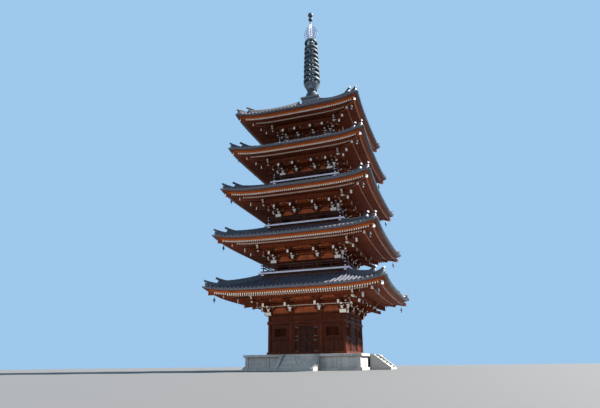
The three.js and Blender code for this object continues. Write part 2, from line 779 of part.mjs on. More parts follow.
add('podium', podium(), STONE);
const steps = flight();
SIDES.forEach((name, side) => add(`steps_${name}`, steps, STONE, side));
add('ground_floor', squareBlock(GROUND.body - POST_RADIUS - 10, PODIUM_TOP + GAP, FLOOR_TOP), TIMBER);
add('ground_frame', groundFrame(), TIMBER);
const bayCentre = (GROUND.body + GROUND.bay) / 2;
const leftBay = bayWall(-bayCentre);
const rightBay = bayWall(bayCentre);
const doorPair = closedDoorPair();
SIDES.forEach((name, side) => {
  add(`${name}_wall_left`, leftBay, TIMBER, side);
  add(`${name}_wall_right`, rightBay, TIMBER, side);
  if (side === 0) {
    add('front_door_left', doorLeaf(-1), DOOR_TIMBER);
    add('front_door_right', doorLeaf(1), DOOR_TIMBER);
  } else {
    add(`${name}_door_pair`, doorPair, DOOR_TIMBER, side);
  }
});
STOREYS.forEach((storey, level) => {
  if (level > 0) {
    add(`${storey.name}_floor`, upperFloor(level), WHITE_EDGE);
    add(`${storey.name}_railing`, railing(level), DARK_TIMBER);
    add(`${storey.name}_walls`, upperWalls(level), TIMBER);
  }
  add(`${storey.name}_brackets`, brackets(storey), TIMBER);
  add(`${storey.name}_purlins`, purlins(storey), TIMBER);
  add(`${storey.name}_eaves`, eaves(level), FASCIA_TIMBER);
  add(`${storey.name}_roof`, roof(level), TILE);
});
add('dew_basin', dewBasin(), TILE);
add('inverted_bowl', bowlAndLotus(), BRONZE);
add('nine_rings', nineRings(), BRONZE);
add('water_flame', waterFlame(), BRONZE);
add('jewel_finial', jewelFinial(), BRONZE);

export default pagoda;
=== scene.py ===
# %% [markdown]
# The pagoda is five timber storeys on a stone podium, each smaller than the one below, with a
# bronze spire on top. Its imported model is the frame: it gives the true place of every part.
# Each cell below makes one kind of part as carpenters, tilers or founders would, and puts it
# where the frame has the plain solid that it stands for.

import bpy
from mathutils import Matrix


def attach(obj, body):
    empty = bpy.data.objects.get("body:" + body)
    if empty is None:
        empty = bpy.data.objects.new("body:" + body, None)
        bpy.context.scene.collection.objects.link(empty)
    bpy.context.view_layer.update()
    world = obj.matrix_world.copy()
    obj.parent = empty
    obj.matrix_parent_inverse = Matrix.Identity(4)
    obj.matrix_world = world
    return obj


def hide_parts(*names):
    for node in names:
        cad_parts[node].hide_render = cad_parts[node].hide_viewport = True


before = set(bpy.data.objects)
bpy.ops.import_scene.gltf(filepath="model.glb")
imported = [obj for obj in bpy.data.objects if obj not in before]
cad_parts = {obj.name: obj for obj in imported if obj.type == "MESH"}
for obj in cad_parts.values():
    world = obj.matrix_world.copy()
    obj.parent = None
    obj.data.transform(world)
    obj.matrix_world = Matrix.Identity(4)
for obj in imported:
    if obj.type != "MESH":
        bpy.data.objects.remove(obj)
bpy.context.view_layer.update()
print("nodes in the frame:", len(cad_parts))

# %% Other modules
import math
import random
from collections import namedtuple

import bpy
import numpy as np
from mathutils import Matrix, Vector

# %% [markdown]
# The tower was measured from the corners of its roofs. Each storey has a half width at the
# post centres, a half width of the middle bay, the height of its lowest bearing blocks, and
# the corner tip of its roof. Nearly everything else is worked out from these few numbers, so
# the five storeys can share one set of functions.

# %% Sizes of the five storeys, in metres
Storey = namedtuple("Storey", "name body bay block tip tip_z")
Balcony = namedtuple("Balcony", "half z rail")

STOREYS = [
    Storey("first", 3.27, 1.30, 4.690, 7.644, 6.745),
    Storey("second", 2.93, 1.17, 9.320, 7.233, 11.261),
    Storey("third", 2.62, 1.05, 13.775, 6.855, 15.669),
    Storey("fourth", 2.32, 0.93, 18.055, 6.464, 19.881),
    Storey("fifth", 2.00, 0.80, 21.890, 6.068, 23.654),
]
BALCONIES = [
    None,
    Balcony(4.128, 8.107, 0.72),
    Balcony(3.761, 12.585, 0.72),
    Balcony(3.383, 17.030, 0.70),
    Balcony(2.995, 21.290, 0.62),
]
GAP = 0.0003
UP = np.array([0.0, 0.0, 1.0])
FRONT = np.array([0.0, -1.0, 0.0])
RIGHT = np.array([1.0, 0.0, 0.0])
print("storeys:", ", ".join(storey.name for storey in STOREYS))

# %% [markdown]
# The camera stands where the photographer stood, low down and a little to the right of the
# front, and looks up at the tower. Its place was found by matching the roof corners. The
# tower stays upright in the world, and only the camera is tilted.

# %% Camera
CAMERA_AZIMUTH = math.radians(16.766)
CAMERA_DISTANCE = 42.73
CAMERA_HEIGHT = 0.40
CAMERA_YAW = math.radians(1.945)
CAMERA_PITCH = math.radians(19.515)
CAMERA_ROLL = math.radians(-0.634)
FOCAL_PIXELS = 455.7
IMAGE_WIDTH = 600
SENSOR_MM = 36.0
VIEW_LIMIT = 400


def add_object(name, data):
    made = bpy.data.objects.new(name, data)
    bpy.context.scene.collection.objects.link(made)
    return made


def compass(heading, height):
    """A direction away from the front: heading turns it left, height tilts it up."""
    return Vector((-math.sin(heading) * math.cos(height), math.cos(heading) * math.cos(height),
                   math.sin(height)))


def add_camera():
    forward = compass(CAMERA_AZIMUTH + CAMERA_YAW, CAMERA_PITCH)
    level = forward.cross(Vector((0, 0, 1))).normalized()
    upright = level.cross(forward)
    side = level * math.cos(CAMERA_ROLL) + upright * math.sin(CAMERA_ROLL)
    top = upright * math.cos(CAMERA_ROLL) - level * math.sin(CAMERA_ROLL)
    place = compass(CAMERA_AZIMUTH, 0) * -CAMERA_DISTANCE
    place.z = CAMERA_HEIGHT
    data = bpy.data.cameras.new("photo_camera")
    data.sensor_fit = "HORIZONTAL"
    data.sensor_width = SENSOR_MM
    data.lens = FOCAL_PIXELS * SENSOR_MM / IMAGE_WIDTH
    data.clip_end = VIEW_LIMIT
    camera = add_object("photo_camera", data)
    camera.matrix_world = (Matrix.Translation(place)
                           @ Matrix((side, top, -forward)).transposed().to_4x4())
    bpy.context.scene.camera = camera
    print(f"camera: {data.lens:.2f} mm lens at {place.x:.1f}, {place.y:.1f}, {place.z:.1f}")


add_camera()

# %% [markdown]
# Light is a soft studio: a pale even dome, a sun from the right and a little behind, a very
# broad lamp low in front, and a wide soft lamp that lies on the floor before the tower and
# shines up. The sun puts a shine on the right of every roof and leaves the left in the shade of
# the storeys above. The lamp on the floor lights the front eaves from below, as white gravel
# does, and the broad lamp picks out the white ends of the timbers there.

# %% Light and floor
Sun = namedtuple("Sun", "name strength colour spread height heading")

DOME_COLOUR = (0.40, 0.67, 0.98)
DOME_STRENGTH = 0.86
SUNS = [
    Sun("studio_sun", 16.0, (1.0, 0.95, 0.88), 2, 42, 114.5),
    Sun("broad_front_lamp", 0.75, (1.0, 0.93, 0.84), 50, 12, -24),
]
FLOOR_LAMP_PLACE = (-3.0, -17.0, 0.05)
FLOOR_LAMP_SIZE = (20.0, 12.0)
FLOOR_LAMP_WATTS = 1400
FLOOR_LAMP_COLOUR = (1.0, 0.88, 0.72)
FLOOR_HALF = 160.0
FLOOR_COLOUR = (0.095, 0.095, 0.095)
FLOOR_ROUGHNESS = 0.9


def add_dome():
    world = bpy.data.worlds.new("studio_dome")
    bpy.context.scene.world = world
    world.use_nodes = True
    background = world.node_tree.nodes["Background"]
    background.inputs["Color"].default_value = (*DOME_COLOUR, 1)
    background.inputs["Strength"].default_value = DOME_STRENGTH


def add_lamp(name, kind, strength, colour):
    data = bpy.data.lights.new(name, kind)
    data.energy = strength
    data.color = colour
    return add_object(name, data)


def add_sun(sun):
    """A sun whose spread, height and heading are in degrees; heading 0 is the front."""
    lamp = add_lamp(sun.name, "SUN", sun.strength, sun.colour)
    lamp.data.angle = math.radians(sun.spread)
    shine = compass(math.radians(sun.heading), -math.radians(sun.height))
    lamp.rotation_euler = shine.to_track_quat("-Z", "Y").to_euler()


def add_floor_lamp():
    """A wide flat lamp just over the floor before the tower, which shines straight up."""
    lamp = add_lamp("floor_lamp", "AREA", FLOOR_LAMP_WATTS, FLOOR_LAMP_COLOUR)
    lamp.data.shape = "RECTANGLE"
    lamp.data.size, lamp.data.size_y = FLOOR_LAMP_SIZE
    lamp.location = FLOOR_LAMP_PLACE
    lamp.rotation_euler = (math.pi, 0, 0)
    lamp.visible_camera = False


def add_floor():
    material = bpy.data.materials.new("studio_floor")
    material.use_nodes = True
    shader = material.node_tree.nodes["Principled BSDF"]
    shader.inputs["Base Color"].default_value = (*FLOOR_COLOUR, 1)
    shader.inputs["Roughness"].default_value = FLOOR_ROUGHNESS
    mesh = bpy.data.meshes.new("studio_floor")
    corners = [(x * FLOOR_HALF, y * FLOOR_HALF, 0) for x, y in ((-1, -1), (1, -1), (1, 1), (-1, 1))]
    mesh.from_pydata(corners, [], [(0, 1, 2, 3)])
    mesh.materials.append(material)
    add_object("studio_floor", mesh)


add_dome()
for sun in SUNS:
    add_sun(sun)
add_floor_lamp()
add_floor()
bpy.context.scene.view_settings.view_transform = "Standard"
print("light: dome, floor lamp,", ", ".join(sun.name for sun in SUNS))

# %% [markdown]
# The finishes share a few effects: the tone that differs from one timber or tile to the next,
# the grain that runs along a beam, the dust that settles on upward faces, the wear on edges
# and the streaks that rain leaves. Each effect is a node group, built once, with named inputs
# and outputs. The shader that turns them into a surface stays in each material.

# %% Helpers for node groups
FLOAT, COLOUR = "NodeSocketFloat", "NodeSocketColor"


def fill(tree, made, inputs):
    """Fills a node's inputs with values or with other nodes' outputs."""
    for name, value in inputs.items():
        if isinstance(value, bpy.types.NodeSocket):
            tree.links.new(value, made.inputs[name])
        else:
            made.inputs[name].default_value = value


def node(tree, kind, inputs=None, **settings):
    """Adds a shader node, sets its options and fills its inputs."""
    made = tree.nodes.new("ShaderNode" + kind)
    for name, value in settings.items():
        setattr(made, name, value)
    fill(tree, made, inputs or {})
    return made


def make_group(name, inputs, outputs, build):
    """A node group. build fills it and returns the sockets that feed its outputs, in order."""
    group = bpy.data.node_groups.new(name, "ShaderNodeTree")
    for label, default in inputs.items():
        kind = FLOAT if isinstance(default, float) else COLOUR
        socket = group.interface.new_socket(label, in_out="INPUT", socket_type=kind)
        socket.default_value = default
    for label, kind in outputs.items():
        group.interface.new_socket(label, in_out="OUTPUT", socket_type=kind)
    given, result = group.nodes.new("NodeGroupInput"), group.nodes.new("NodeGroupOutput")
    fill(group, result, dict(zip(outputs, build(group, given.outputs))))
    print("node group:", name)
    return group


def arithmetic(tree, operation, first, second, third=0.0):
    inputs = {0: first, 1: second, 2: third}
    return node(tree, "Math", inputs, operation=operation).outputs[0]


def mask_between(tree, value, low, high):
    """A mask that goes from 0 to 1 while a value goes from low to high."""
    inputs = {"Value": value, "From Min": low, "From Max": high}
    return node(tree, "MapRange", inputs).outputs["Result"]


def noise(tree, place, stretch, **settings):
    if stretch:
        place = node(tree, "VectorMath", {0: place, 1: stretch}, operation="MULTIPLY").outputs[0]
    return node(tree, "TexNoise", {"Vector": place, **settings}).outputs["Fac"]


def tower_noise(tree, stretch=None, **settings):
    """Noise in the tower's own coordinates, in metres, so that it stays put from every view."""
    return noise(tree, node(tree, "TexCoord").outputs["Object"], stretch, **settings)


print("helpers are ready")

# %% [markdown]
# No two timbers take stain alike, and no two tiles come out of the kiln alike. Blender gives
# each separate member of a mesh its own random number, so one material can tint hundreds of
# rafters a little differently.

# %% Node group: tone of each member
def member_tone(tree, given):
    island = node(tree, "NewGeometry").outputs["Random Per Island"]
    centred = arithmetic(tree, "SUBTRACT", island, 0.5)
    change = arithmetic(tree, "MULTIPLY", centred, given["Spread"])
    brightness = arithmetic(tree, "MULTIPLY_ADD", change, 2.0, 1.0)
    tint = node(tree, "HueSaturation", {"Value": brightness, "Color": given["Colour"]})
    return tint.outputs["Color"], island


MEMBER_TONE = make_group("member_tone", {"Colour": (0.5, 0.5, 0.5, 1), "Spread": 0.2},
                         {"Colour": COLOUR, "Chance": FLOAT}, member_tone)

# %% [markdown]
# Wood grain is long streaks that follow the beam. Every member carries a map of its own
# length and girth in metres, so the streaks can be noise that is stretched along the length.
# A second, broader noise makes the slow change from heartwood to sapwood.

# %% Node group: grain along a beam
def grain(tree, given):
    along = node(tree, "UVMap", uv_map="Grain").outputs["UV"]
    fine = noise(tree, along, (1.3, 34.0, 1.0), Scale=given["Fineness"], Detail=5.0,
                 Roughness=0.62, Distortion=0.35)
    broad = noise(tree, along, (0.45, 5.0, 1.0), Scale=1.0, Detail=3.0, Roughness=0.55)
    return fine, broad


GRAIN = make_group("grain", {"Fineness": 1.0}, {"Streaks": FLOAT, "Broad": FLOAT}, grain)

# %% [markdown]
# The other three effects are masks. Dust and lichen lie where a face looks up, broken up by
# noise. Rain draws dirt down a wall or a bell in long streaks, which are noise that is squeezed
# across and stretched in height. Edges lose their paint and patina first, where the mesh turns
# sharply, and a fine noise makes that wear uneven.

# %% Node groups: dust, rain streaks and worn edges
def dust(tree, given):
    normal = node(tree, "NewGeometry").outputs["Normal"]
    height = node(tree, "SeparateXYZ", {0: normal}).outputs["Z"]
    upward = mask_between(tree, height, 0.25, 0.95)
    patches = tower_noise(tree, Scale=given["Patch size"], Detail=5.0, Roughness=0.65)
    lying = arithmetic(tree, "MULTIPLY", upward, mask_between(tree, patches, 0.38, 0.66))
    return [arithmetic(tree, "MULTIPLY", lying, given["Amount"])]


def rain_streaks(tree, given):
    runs = tower_noise(tree, (1.0, 1.0, 0.12), Scale=given["Width"], Detail=4.0, Roughness=0.6)
    return [arithmetic(tree, "MULTIPLY", mask_between(tree, runs, 0.46, 0.68), given["Amount"])]


def worn_edges(tree, given):
    turn = node(tree, "NewGeometry").outputs["Pointiness"]
    uneven = tower_noise(tree, Scale=given["Noise size"], Detail=4.0)
    worn = arithmetic(tree, "MULTIPLY", mask_between(tree, turn, 0.52, 0.60),
                      mask_between(tree, uneven, 0.35, 0.65))
    return [arithmetic(tree, "MULTIPLY", worn, given["Amount"])]


MASK = {"Mask": FLOAT}
DUST = make_group("dust", {"Amount": 0.5, "Patch size": 1.5}, MASK, dust)
STREAKS = make_group("rain_streaks", {"Width": 5.0, "Amount": 0.5}, MASK, rain_streaks)
WORN_EDGES = make_group("worn_edges", {"Amount": 0.5, "Noise size": 9.0}, MASK, worn_edges)

# %% [markdown]
# A material places these groups with its own values. The helpers below add a group, blend two
# colours by a mask, lay the colour of a mask group over another, and end in one Principled
# shader with a bump.

# %% Helpers for materials
def start_material(name):
    material = bpy.data.materials.new(name)
    material.use_nodes = True
    return material, material.node_tree


def placed(tree, group, inputs=None):
    return node(tree, "Group", inputs, node_tree=group).outputs


def member_tint(tree, colour, spread):
    return placed(tree, MEMBER_TONE, {"Colour": (*colour, 1), "Spread": spread})


def blend(tree, mask, low, high):
    """Colour low where the mask is 0 and high where it is 1."""
    low, high = [(*value, 1) if isinstance(value, tuple) else value for value in (low, high)]
    return node(tree, "Mix", {"Factor": mask, 6: low, 7: high}, data_type="RGBA").outputs[2]


def layer(tree, base, colour, group, **inputs):
    """Lays a colour over the base where a group's mask says so."""
    named = {name.replace("_", " "): value for name, value in inputs.items()}
    return blend(tree, placed(tree, group, named)["Mask"], base, colour)


def clouded(tree, base, colour, mask, most, least=0.0):
    """Lays a colour over the base by a share of a mask, from least to most."""
    share = node(tree, "MapRange", {"Value": mask, "To Min": least, "To Max": most})
    return blend(tree, share.outputs["Result"], base, colour)


def noise_mask(tree, scale, detail, low, high):
    return mask_between(tree, tower_noise(tree, Scale=scale, Detail=detail), low, high)


def finish_material(material, colour, relief, strength, depth, inputs):
    """Ends a material in its shader: a colour, a bump from a height, and further inputs."""
    tree = material.node_tree
    bump = node(tree, "Bump", {"Height": relief, "Strength": strength, "Distance": depth})
    fill(tree, tree.nodes["Principled BSDF"],
         {"Base Color": colour, "Normal": bump.outputs["Normal"], **inputs})
    print("finish:", material.name)
    return material


print("material helpers are ready")

# %% [markdown]
# All the timber is stained red-brown and has dried and darkened. One recipe makes it: a base
# colour that differs by member, dark grain, pale broad streaks, rain streaks and a little
# dust. The eaves boards, doors and rails use the same recipe with other colours.

# %% Timber finishes
TIMBER_DUST = (0.32, 0.28, 0.23)


def timber(name, colour, dark, pale, dust=0.1, roughness=0.62, spread=0.22, streaks=0.35):
    material, tree = start_material(name)
    tone = member_tint(tree, colour, spread)
    wood = placed(tree, GRAIN)
    grain_mask = mask_between(tree, wood["Streaks"], 0.42, 0.62)
    broad_mask = mask_between(tree, wood["Broad"], 0.45, 0.75)
    grained = clouded(tree, tone["Colour"], dark, grain_mask, 0.62)
    aged = clouded(tree, grained, pale, broad_mask, 0.5)
    dirt = tuple(part * 0.45 for part in dark)
    soiled = layer(tree, aged, dirt, STREAKS, Width=4.0, Amount=streaks)
    dusty = layer(tree, soiled, TIMBER_DUST, DUST, Amount=dust, Patch_size=2.0)
    rough = arithmetic(tree, "MULTIPLY_ADD", grain_mask, 0.22, roughness - 0.1)
    return finish_material(material, dusty, wood["Streaks"], 0.35, 0.006,
                           {"Roughness": rough, "Specular IOR Level": 0.10})


POST_TIMBER = timber("stained_post_timber", (0.088, 0.018, 0.006), (0.018, 0.005, 0.003),
                     (0.17, 0.038, 0.011), dust=0.12)
BRACKET_TIMBER = timber("stained_bracket_timber", (0.150, 0.033, 0.012), (0.024, 0.007, 0.005),
                        (0.32, 0.075, 0.022))
# Painted light: the frieze boards deep under the eaves are orange timber painted far brighter than
# the rest, to stand in for light from the ground.
FRIEZE_TIMBER = timber("frieze_timber_painted_ground_light", (0.50, 0.120, 0.042), (0.110, 0.025, 0.011),
                       (0.74, 0.21, 0.065), dust=0.05)
# Painted light: the edge boards' orange is raised far above the other timber to stand in for light
# thrown up from the ground.
EAVES_TIMBER = timber("eaves_timber_painted_ground_light", (0.34, 0.078, 0.009), (0.12, 0.024, 0.005),
                      (0.52, 0.14, 0.017), dust=0.05, spread=0.15, streaks=0.2)
SOFFIT_TIMBER = timber("soffit_board_timber", (0.210, 0.055, 0.026), (0.040, 0.012, 0.008),
                       (0.34, 0.090, 0.032))
RAFTER_TIMBER = timber("stained_rafter_timber", (0.220, 0.055, 0.025), (0.048, 0.012, 0.008),
                       (0.36, 0.090, 0.028))
BOARD_TIMBER = timber("wall_board_timber", (0.056, 0.012, 0.005), (0.014, 0.004, 0.003),
                      (0.125, 0.029, 0.009), spread=0.3)
DOOR_TIMBER = timber("panelled_door_timber", (0.028, 0.0085, 0.0075), (0.008, 0.0035, 0.0040),
                     (0.065, 0.019, 0.013))
RAIL_TIMBER = timber("dark_rail_timber", (0.070, 0.028, 0.022), (0.018, 0.009, 0.009),
                     (0.13, 0.055, 0.036), dust=0.3, roughness=0.5)

# %% [markdown]
# The ends of the rafters, arms and rails are painted with a chalky white that keeps water out
# of the end grain. The balcony edges and rail ends have a white with a painted blue tint, which
# stands in for sky light on them in the shade. The horns on the roofs have a painted blue-grey,
# darker than white, as painted shade. The paint has flaked in places and shows what lies under it,
# and its dirt collects in streaks.

# %% White paints
PAINT_DIRT = (0.42, 0.39, 0.35)
FLAKE_EDGE = 0.06


def paint(name, colour, under, flaking):
    material, tree = start_material(name)
    tone = member_tint(tree, colour, 0.09)
    flakes = noise_mask(tree, 14.0, 5.0, flaking, flaking + FLAKE_EDGE)
    bare = blend(tree, flakes, tone["Colour"], under)
    soiled = layer(tree, bare, PAINT_DIRT, STREAKS, Width=9.0, Amount=0.22)
    worn = layer(tree, soiled, under, WORN_EDGES, Amount=0.3, Noise_size=20.0)
    return finish_material(material, worn, flakes, 0.3, 0.002, {"Roughness": 0.7})


CHALK_WHITE = paint("chalk_white_ends", (0.95, 0.93, 0.87), (0.34, 0.16, 0.08), 0.70)
# Painted reflection: the blue tint in the edge white stands in for sky light on white paint in the
# shade.
EDGE_WHITE_SKY_TINT = paint("white_edge_painted_sky_tint", (0.72, 0.70, 0.82), (0.30, 0.25, 0.25), 0.68)
# Painted shade: the horn ends' white is darkened to a blue-grey that stands in for shade and sky
# light on them.
HORN_SHADED_GREY = paint("horn_white_painted_shade", (0.34, 0.35, 0.42), (0.15, 0.15, 0.17), 0.6)

# %% [markdown]
# The roof tiles are smoked clay: dark grey, with a silvery skin that shines where it is
# whole. Their colours, and those of the lichen and worn edges on them, carry a painted blue tint
# that stands in for sky light on the tiles in the shade. Each tile came out of the kiln a little
# different, so colour and shine both change from tile to tile. Lichen and dust make the upper faces
# paler.

# %% Roof tile finish
# Painted reflection: these two colours are tinted blue to stand in for sky light on tiles in the
# shade.
LICHEN_SKY_TINT = (0.14, 0.145, 0.17)
WORN_TILE_SKY_TINT = (0.19, 0.205, 0.25)


def tile_finish(name, colour, pale, lichen):
    material, tree = start_material(name)
    tone = member_tint(tree, colour, 0.42)
    smoky = clouded(tree, tone["Colour"], pale, noise_mask(tree, 5.0, 6.0, 0.42, 0.72), 0.5)
    patches = placed(tree, DUST, {"Amount": lichen, "Patch size": 3.2})["Mask"]
    overgrown = blend(tree, patches, smoky, LICHEN_SKY_TINT)
    worn = layer(tree, overgrown, WORN_TILE_SKY_TINT, WORN_EDGES, Amount=0.4, Noise_size=12.0)
    shine = arithmetic(tree, "MULTIPLY_ADD", tone["Chance"], 0.15, 0.40)
    dull = arithmetic(tree, "MULTIPLY_ADD", patches, 0.4, shine)
    return finish_material(material, worn, tower_noise(tree, Scale=34.0, Detail=5.0), 0.3, 0.004,
                           {"Roughness": dull, "Specular IOR Level": 0.65})


# Painted reflection: the blue in the roof tile colours stands in for sky light on the tiles in the
# shade.
ROOF_TILE = tile_finish("smoked_roof_tile_sky_tint", (0.013, 0.016, 0.034), (0.045, 0.050, 0.085), 0.25)
RIDGE_TILE = tile_finish("smoked_ridge_tile", (0.020, 0.022, 0.032), (0.045, 0.048, 0.062), 0.2)

# %% [markdown]
# The podium is pale granite. Up close it is speckled with dark mica, and from afar each block
# has its own shade, with darker damp stains that run down from the coping.

# %% Granite finish
STONE, MICA, EARTHY = (0.34, 0.33, 0.31), (0.14, 0.13, 0.13), (0.27, 0.26, 0.22)
DAMP_STONE, WORN_STONE = (0.16, 0.155, 0.13), (0.42, 0.41, 0.39)


def granite():
    material, tree = start_material("podium_granite")
    tone = member_tint(tree, STONE, 0.16)
    specks = noise_mask(tree, 90.0, 3.0, 0.56, 0.64)
    speckled = clouded(tree, tone["Colour"], MICA, specks, 0.5)
    cloudy = clouded(tree, speckled, EARTHY, noise_mask(tree, 1.7, 5.0, 0.45, 0.75), 0.45)
    damp = layer(tree, cloudy, DAMP_STONE, STREAKS, Width=2.2, Amount=0.55)
    worn = layer(tree, damp, WORN_STONE, WORN_EDGES, Amount=0.6, Noise_size=7.0)
    return finish_material(material, worn, tower_noise(tree, Scale=26.0, Detail=6.0), 0.5, 0.006,
                           {"Roughness": 0.86})


GRANITE = granite()

# %% [markdown]
# The spire is cast bronze. Air and rain have turned it grey-green, and the high rims are
# rubbed pale. The flame near the top is painted a pale lilac bronze, which stands in for the sky
# light seen through and around its openwork. The bells are cast of the same metal
# as the rings, and the door fittings are black iron.

# %% Metal finishes
def metal(name, colour, patina, rim, roughness, metalness, dust):
    material, tree = start_material(name)
    tone = member_tint(tree, colour, 0.2)
    clouds = noise_mask(tree, 3.5, 6.0, 0.40, 0.62)
    aged = clouded(tree, tone["Colour"], patina, clouds, 0.85, 0.1)
    run_off = tuple(part * 1.6 for part in patina)
    streaked = layer(tree, aged, run_off, STREAKS, Width=6.0, Amount=0.6)
    dusty = layer(tree, streaked, rim, DUST, Amount=dust, Patch_size=6.0)
    worn = layer(tree, dusty, rim, WORN_EDGES, Amount=0.6, Noise_size=6.0)
    bare = arithmetic(tree, "MULTIPLY_ADD", clouds, -0.35 * metalness, metalness)
    rough = arithmetic(tree, "MULTIPLY_ADD", clouds, 0.25, roughness)
    return finish_material(material, worn, tower_noise(tree, Scale=22.0, Detail=5.0), 0.25, 0.004,
                           {"Metallic": bare, "Roughness": rough})


BRONZE = metal("patinated_bronze", (0.018, 0.028, 0.036), (0.012, 0.026, 0.038),
               (0.25, 0.30, 0.33), roughness=0.5, metalness=0.25, dust=0.15)
# Painted light: the flame's pale lilac stands in for sky light seen through and around the
# openwork.
FLAME_BRONZE_SKY_PALE = metal("flame_bronze_painted_sky_light", (0.36, 0.36, 0.44), (0.26, 0.27, 0.36),
                    (0.72, 0.73, 0.80), roughness=0.45, metalness=0.2, dust=0.3)
DARK_IRON = metal("black_door_iron", (0.035, 0.033, 0.032), (0.06, 0.045, 0.035),
                  (0.22, 0.20, 0.18), roughness=0.5, metalness=0.8, dust=0.75)


# %% [markdown]
# Hundreds of rafters or tiles as single objects would be slow, so each kind of part goes into
# a heap of points and faces, and the heap becomes one mesh. Because the tower is the same on
# its four sides, most parts are made once for the front and then turned to the other sides.
# Every face keeps a map of its place on its own member, which the wood grain follows.

# %% A heap of members that becomes one mesh
class Heap:
    """Members of one kind. Faces carry a finish number and a grain map in metres."""

    def __init__(self):
        self.points, self.faces, self.finishes, self.grain = [], [], [], []
        self.count = 0

    def add(self, points, faces, finishes, grain):
        first = self.count
        self.points.append(points)
        self.faces += [tuple(first + corner for corner in face) for face in faces]
        self.finishes += finishes
        self.grain += grain
        self.count += len(points)

    def turned_to(self, *sides, lap=0.0):
        """The same work on other sides of the tower: 0 is the front and 1 the right. Members
        that cross at the corners lie higher by lap on the odd sides."""
        points = np.vstack(self.points)
        whole = Heap()
        for side in sides:
            cosine, sine = round(math.cos(side * math.pi / 2)), round(math.sin(side * math.pi / 2))
            turn = np.array([[cosine, sine, 0], [-sine, cosine, 0], [0, 0, 1]])
            whole.add(points @ turn + UP * lap * (side % 2), self.faces, self.finishes, self.grain)
        return whole

    def around(self, lap=0.0):
        return self.turned_to(0, 1, 2, 3, lap=lap)

    def take(self, other):
        """Adds another heap's members to this one."""
        self.add(np.vstack(other.points), other.faces, other.finishes, other.grain)


GRAIN_CHANCE = random.Random(41)
GRAIN_REACH = 40


def grain_offset():
    """Each member gets its own stretch of the grain noise."""
    return GRAIN_CHANCE.uniform(0, GRAIN_REACH), GRAIN_CHANCE.uniform(0, GRAIN_REACH)


print("heap is ready")

# %% [markdown]
# Three ways of shaping make nearly every part. A sweep runs a section along a path, as a
# plane runs along a beam or a tile press along a row. A turned form spins an outline round an
# upright axis. A plank is an outline sawn from a board. Discs, plates and nail heads are
# pressed, which is a sweep straight out of a face. Each way closes its own ends, so that every
# member is a solid.

# %% Sweep a section along a path
END_GRAIN = 0.3


def loft(heap, rings, finish, ends=(0, 0)):
    """Joins rings of points into one closed member. Seen from the first ring, each is listed
    anticlockwise. finish is one number, or one for each edge of a ring."""
    rings = [np.asarray(ring, float) for ring in rings]
    corners = len(rings[0])
    edges = np.linalg.norm(np.roll(rings[0], -1, axis=0) - rings[0], axis=1)
    girth = np.concatenate([[0], np.cumsum(edges)])
    steps = [np.linalg.norm(after.mean(axis=0) - before.mean(axis=0))
             for before, after in zip(rings, rings[1:])]
    runs = np.concatenate([[0], np.cumsum(steps)])
    run_start, girth_start = grain_offset()
    faces, finishes, grain = [], [], []
    edge_finishes = finish if isinstance(finish, list) else [finish] * corners
    for index in range(len(rings) - 1):
        low, high = index * corners, (index + 1) * corners
        u0, u1 = run_start + runs[index], run_start + runs[index + 1]
        for corner in range(corners):
            after = (corner + 1) % corners
            faces.append((low + corner, high + corner, high + after, low + after))
            finishes.append(edge_finishes[corner])
            v0, v1 = girth_start + girth[corner], girth_start + girth[corner + 1]
            grain += [(u0, v0), (u1, v0), (u1, v1), (u0, v1)]
    last = (len(rings) - 1) * corners
    flat = [(run_start + edge * END_GRAIN, girth_start + edge) for edge in girth[:-1]]
    faces += [tuple(range(corners)), tuple(range(last + corners - 1, last - 1, -1))]
    heap.add(np.vstack(rings), faces, finishes + list(ends), grain + flat + flat[::-1])


def sweep(heap, section, stations, finish=0, ends=(0, 0)):
    """Runs an anticlockwise section of (across, up) points through stations, each a centre,
    an across vector and an up vector."""
    section = np.asarray(section, float)
    rings = [np.asarray(centre) + section[:, :1] * across + section[:, 1:] * up
             for centre, across, up in stations]
    loft(heap, rings, finish, ends)


def pressed(heap, section, centre, outward, steps, finish=0):
    """A form that stands out from a face. Each step is a depth and the size of the section."""
    across = np.cross(outward, UP)
    stations = [(centre + outward * depth, across * size, UP * size) for depth, size in steps]
    sweep(heap, section, stations, finish, (finish, finish))


def unit(vector):
    return np.asarray(vector, float) / np.linalg.norm(vector)


def compass_point(angle):
    """A level direction at some angle from the right."""
    return np.array([math.cos(angle), math.sin(angle), 0.0])


def polygon(radius, sides=8, turn=0.5):
    """A regular section whose first corner lies turn corners round from the across side."""
    corners = [compass_point((step + turn) * math.tau / sides) for step in range(sides)]
    return [radius * corner[:2] for corner in corners]


def rectangle(width, height, chamfer=0.0):
    """An anticlockwise rectangle round its centre, with its corners cut if chamfer is set."""
    x, y, c = width / 2, height / 2, chamfer
    if not c:
        return [(-x, -y), (x, -y), (x, y), (-x, y)]
    return [(-x + c, -y), (x - c, -y), (x, -y + c), (x, y - c),
            (x - c, y), (-x + c, y), (-x, y - c), (-x, -y + c)]


def beam(heap, path, width, height, finish=0, ends=(0, 0), chamfer=0.0, up=UP):
    """A timber of rectangular section along a path of points. Its ends are cut upright."""
    path = [np.asarray(point, float) for point in path]
    across = unit(np.cross(path[-1] - path[0], up))
    stations = [(point, across, np.asarray(up, float)) for point in path]
    sweep(heap, rectangle(width, height, chamfer), stations, finish, ends)


def side_run(heap, left, right, outer, inner, low, high, finish=0, ends=(0, 0), chamfer=0.0):
    """A member along the front, between two places and two distances from the middle."""
    depth, height = (outer + inner) / 2, (low + high) / 2
    beam(heap, [(left, -depth, height), (right, -depth, height)], outer - inner, high - low,
         finish, ends, chamfer)


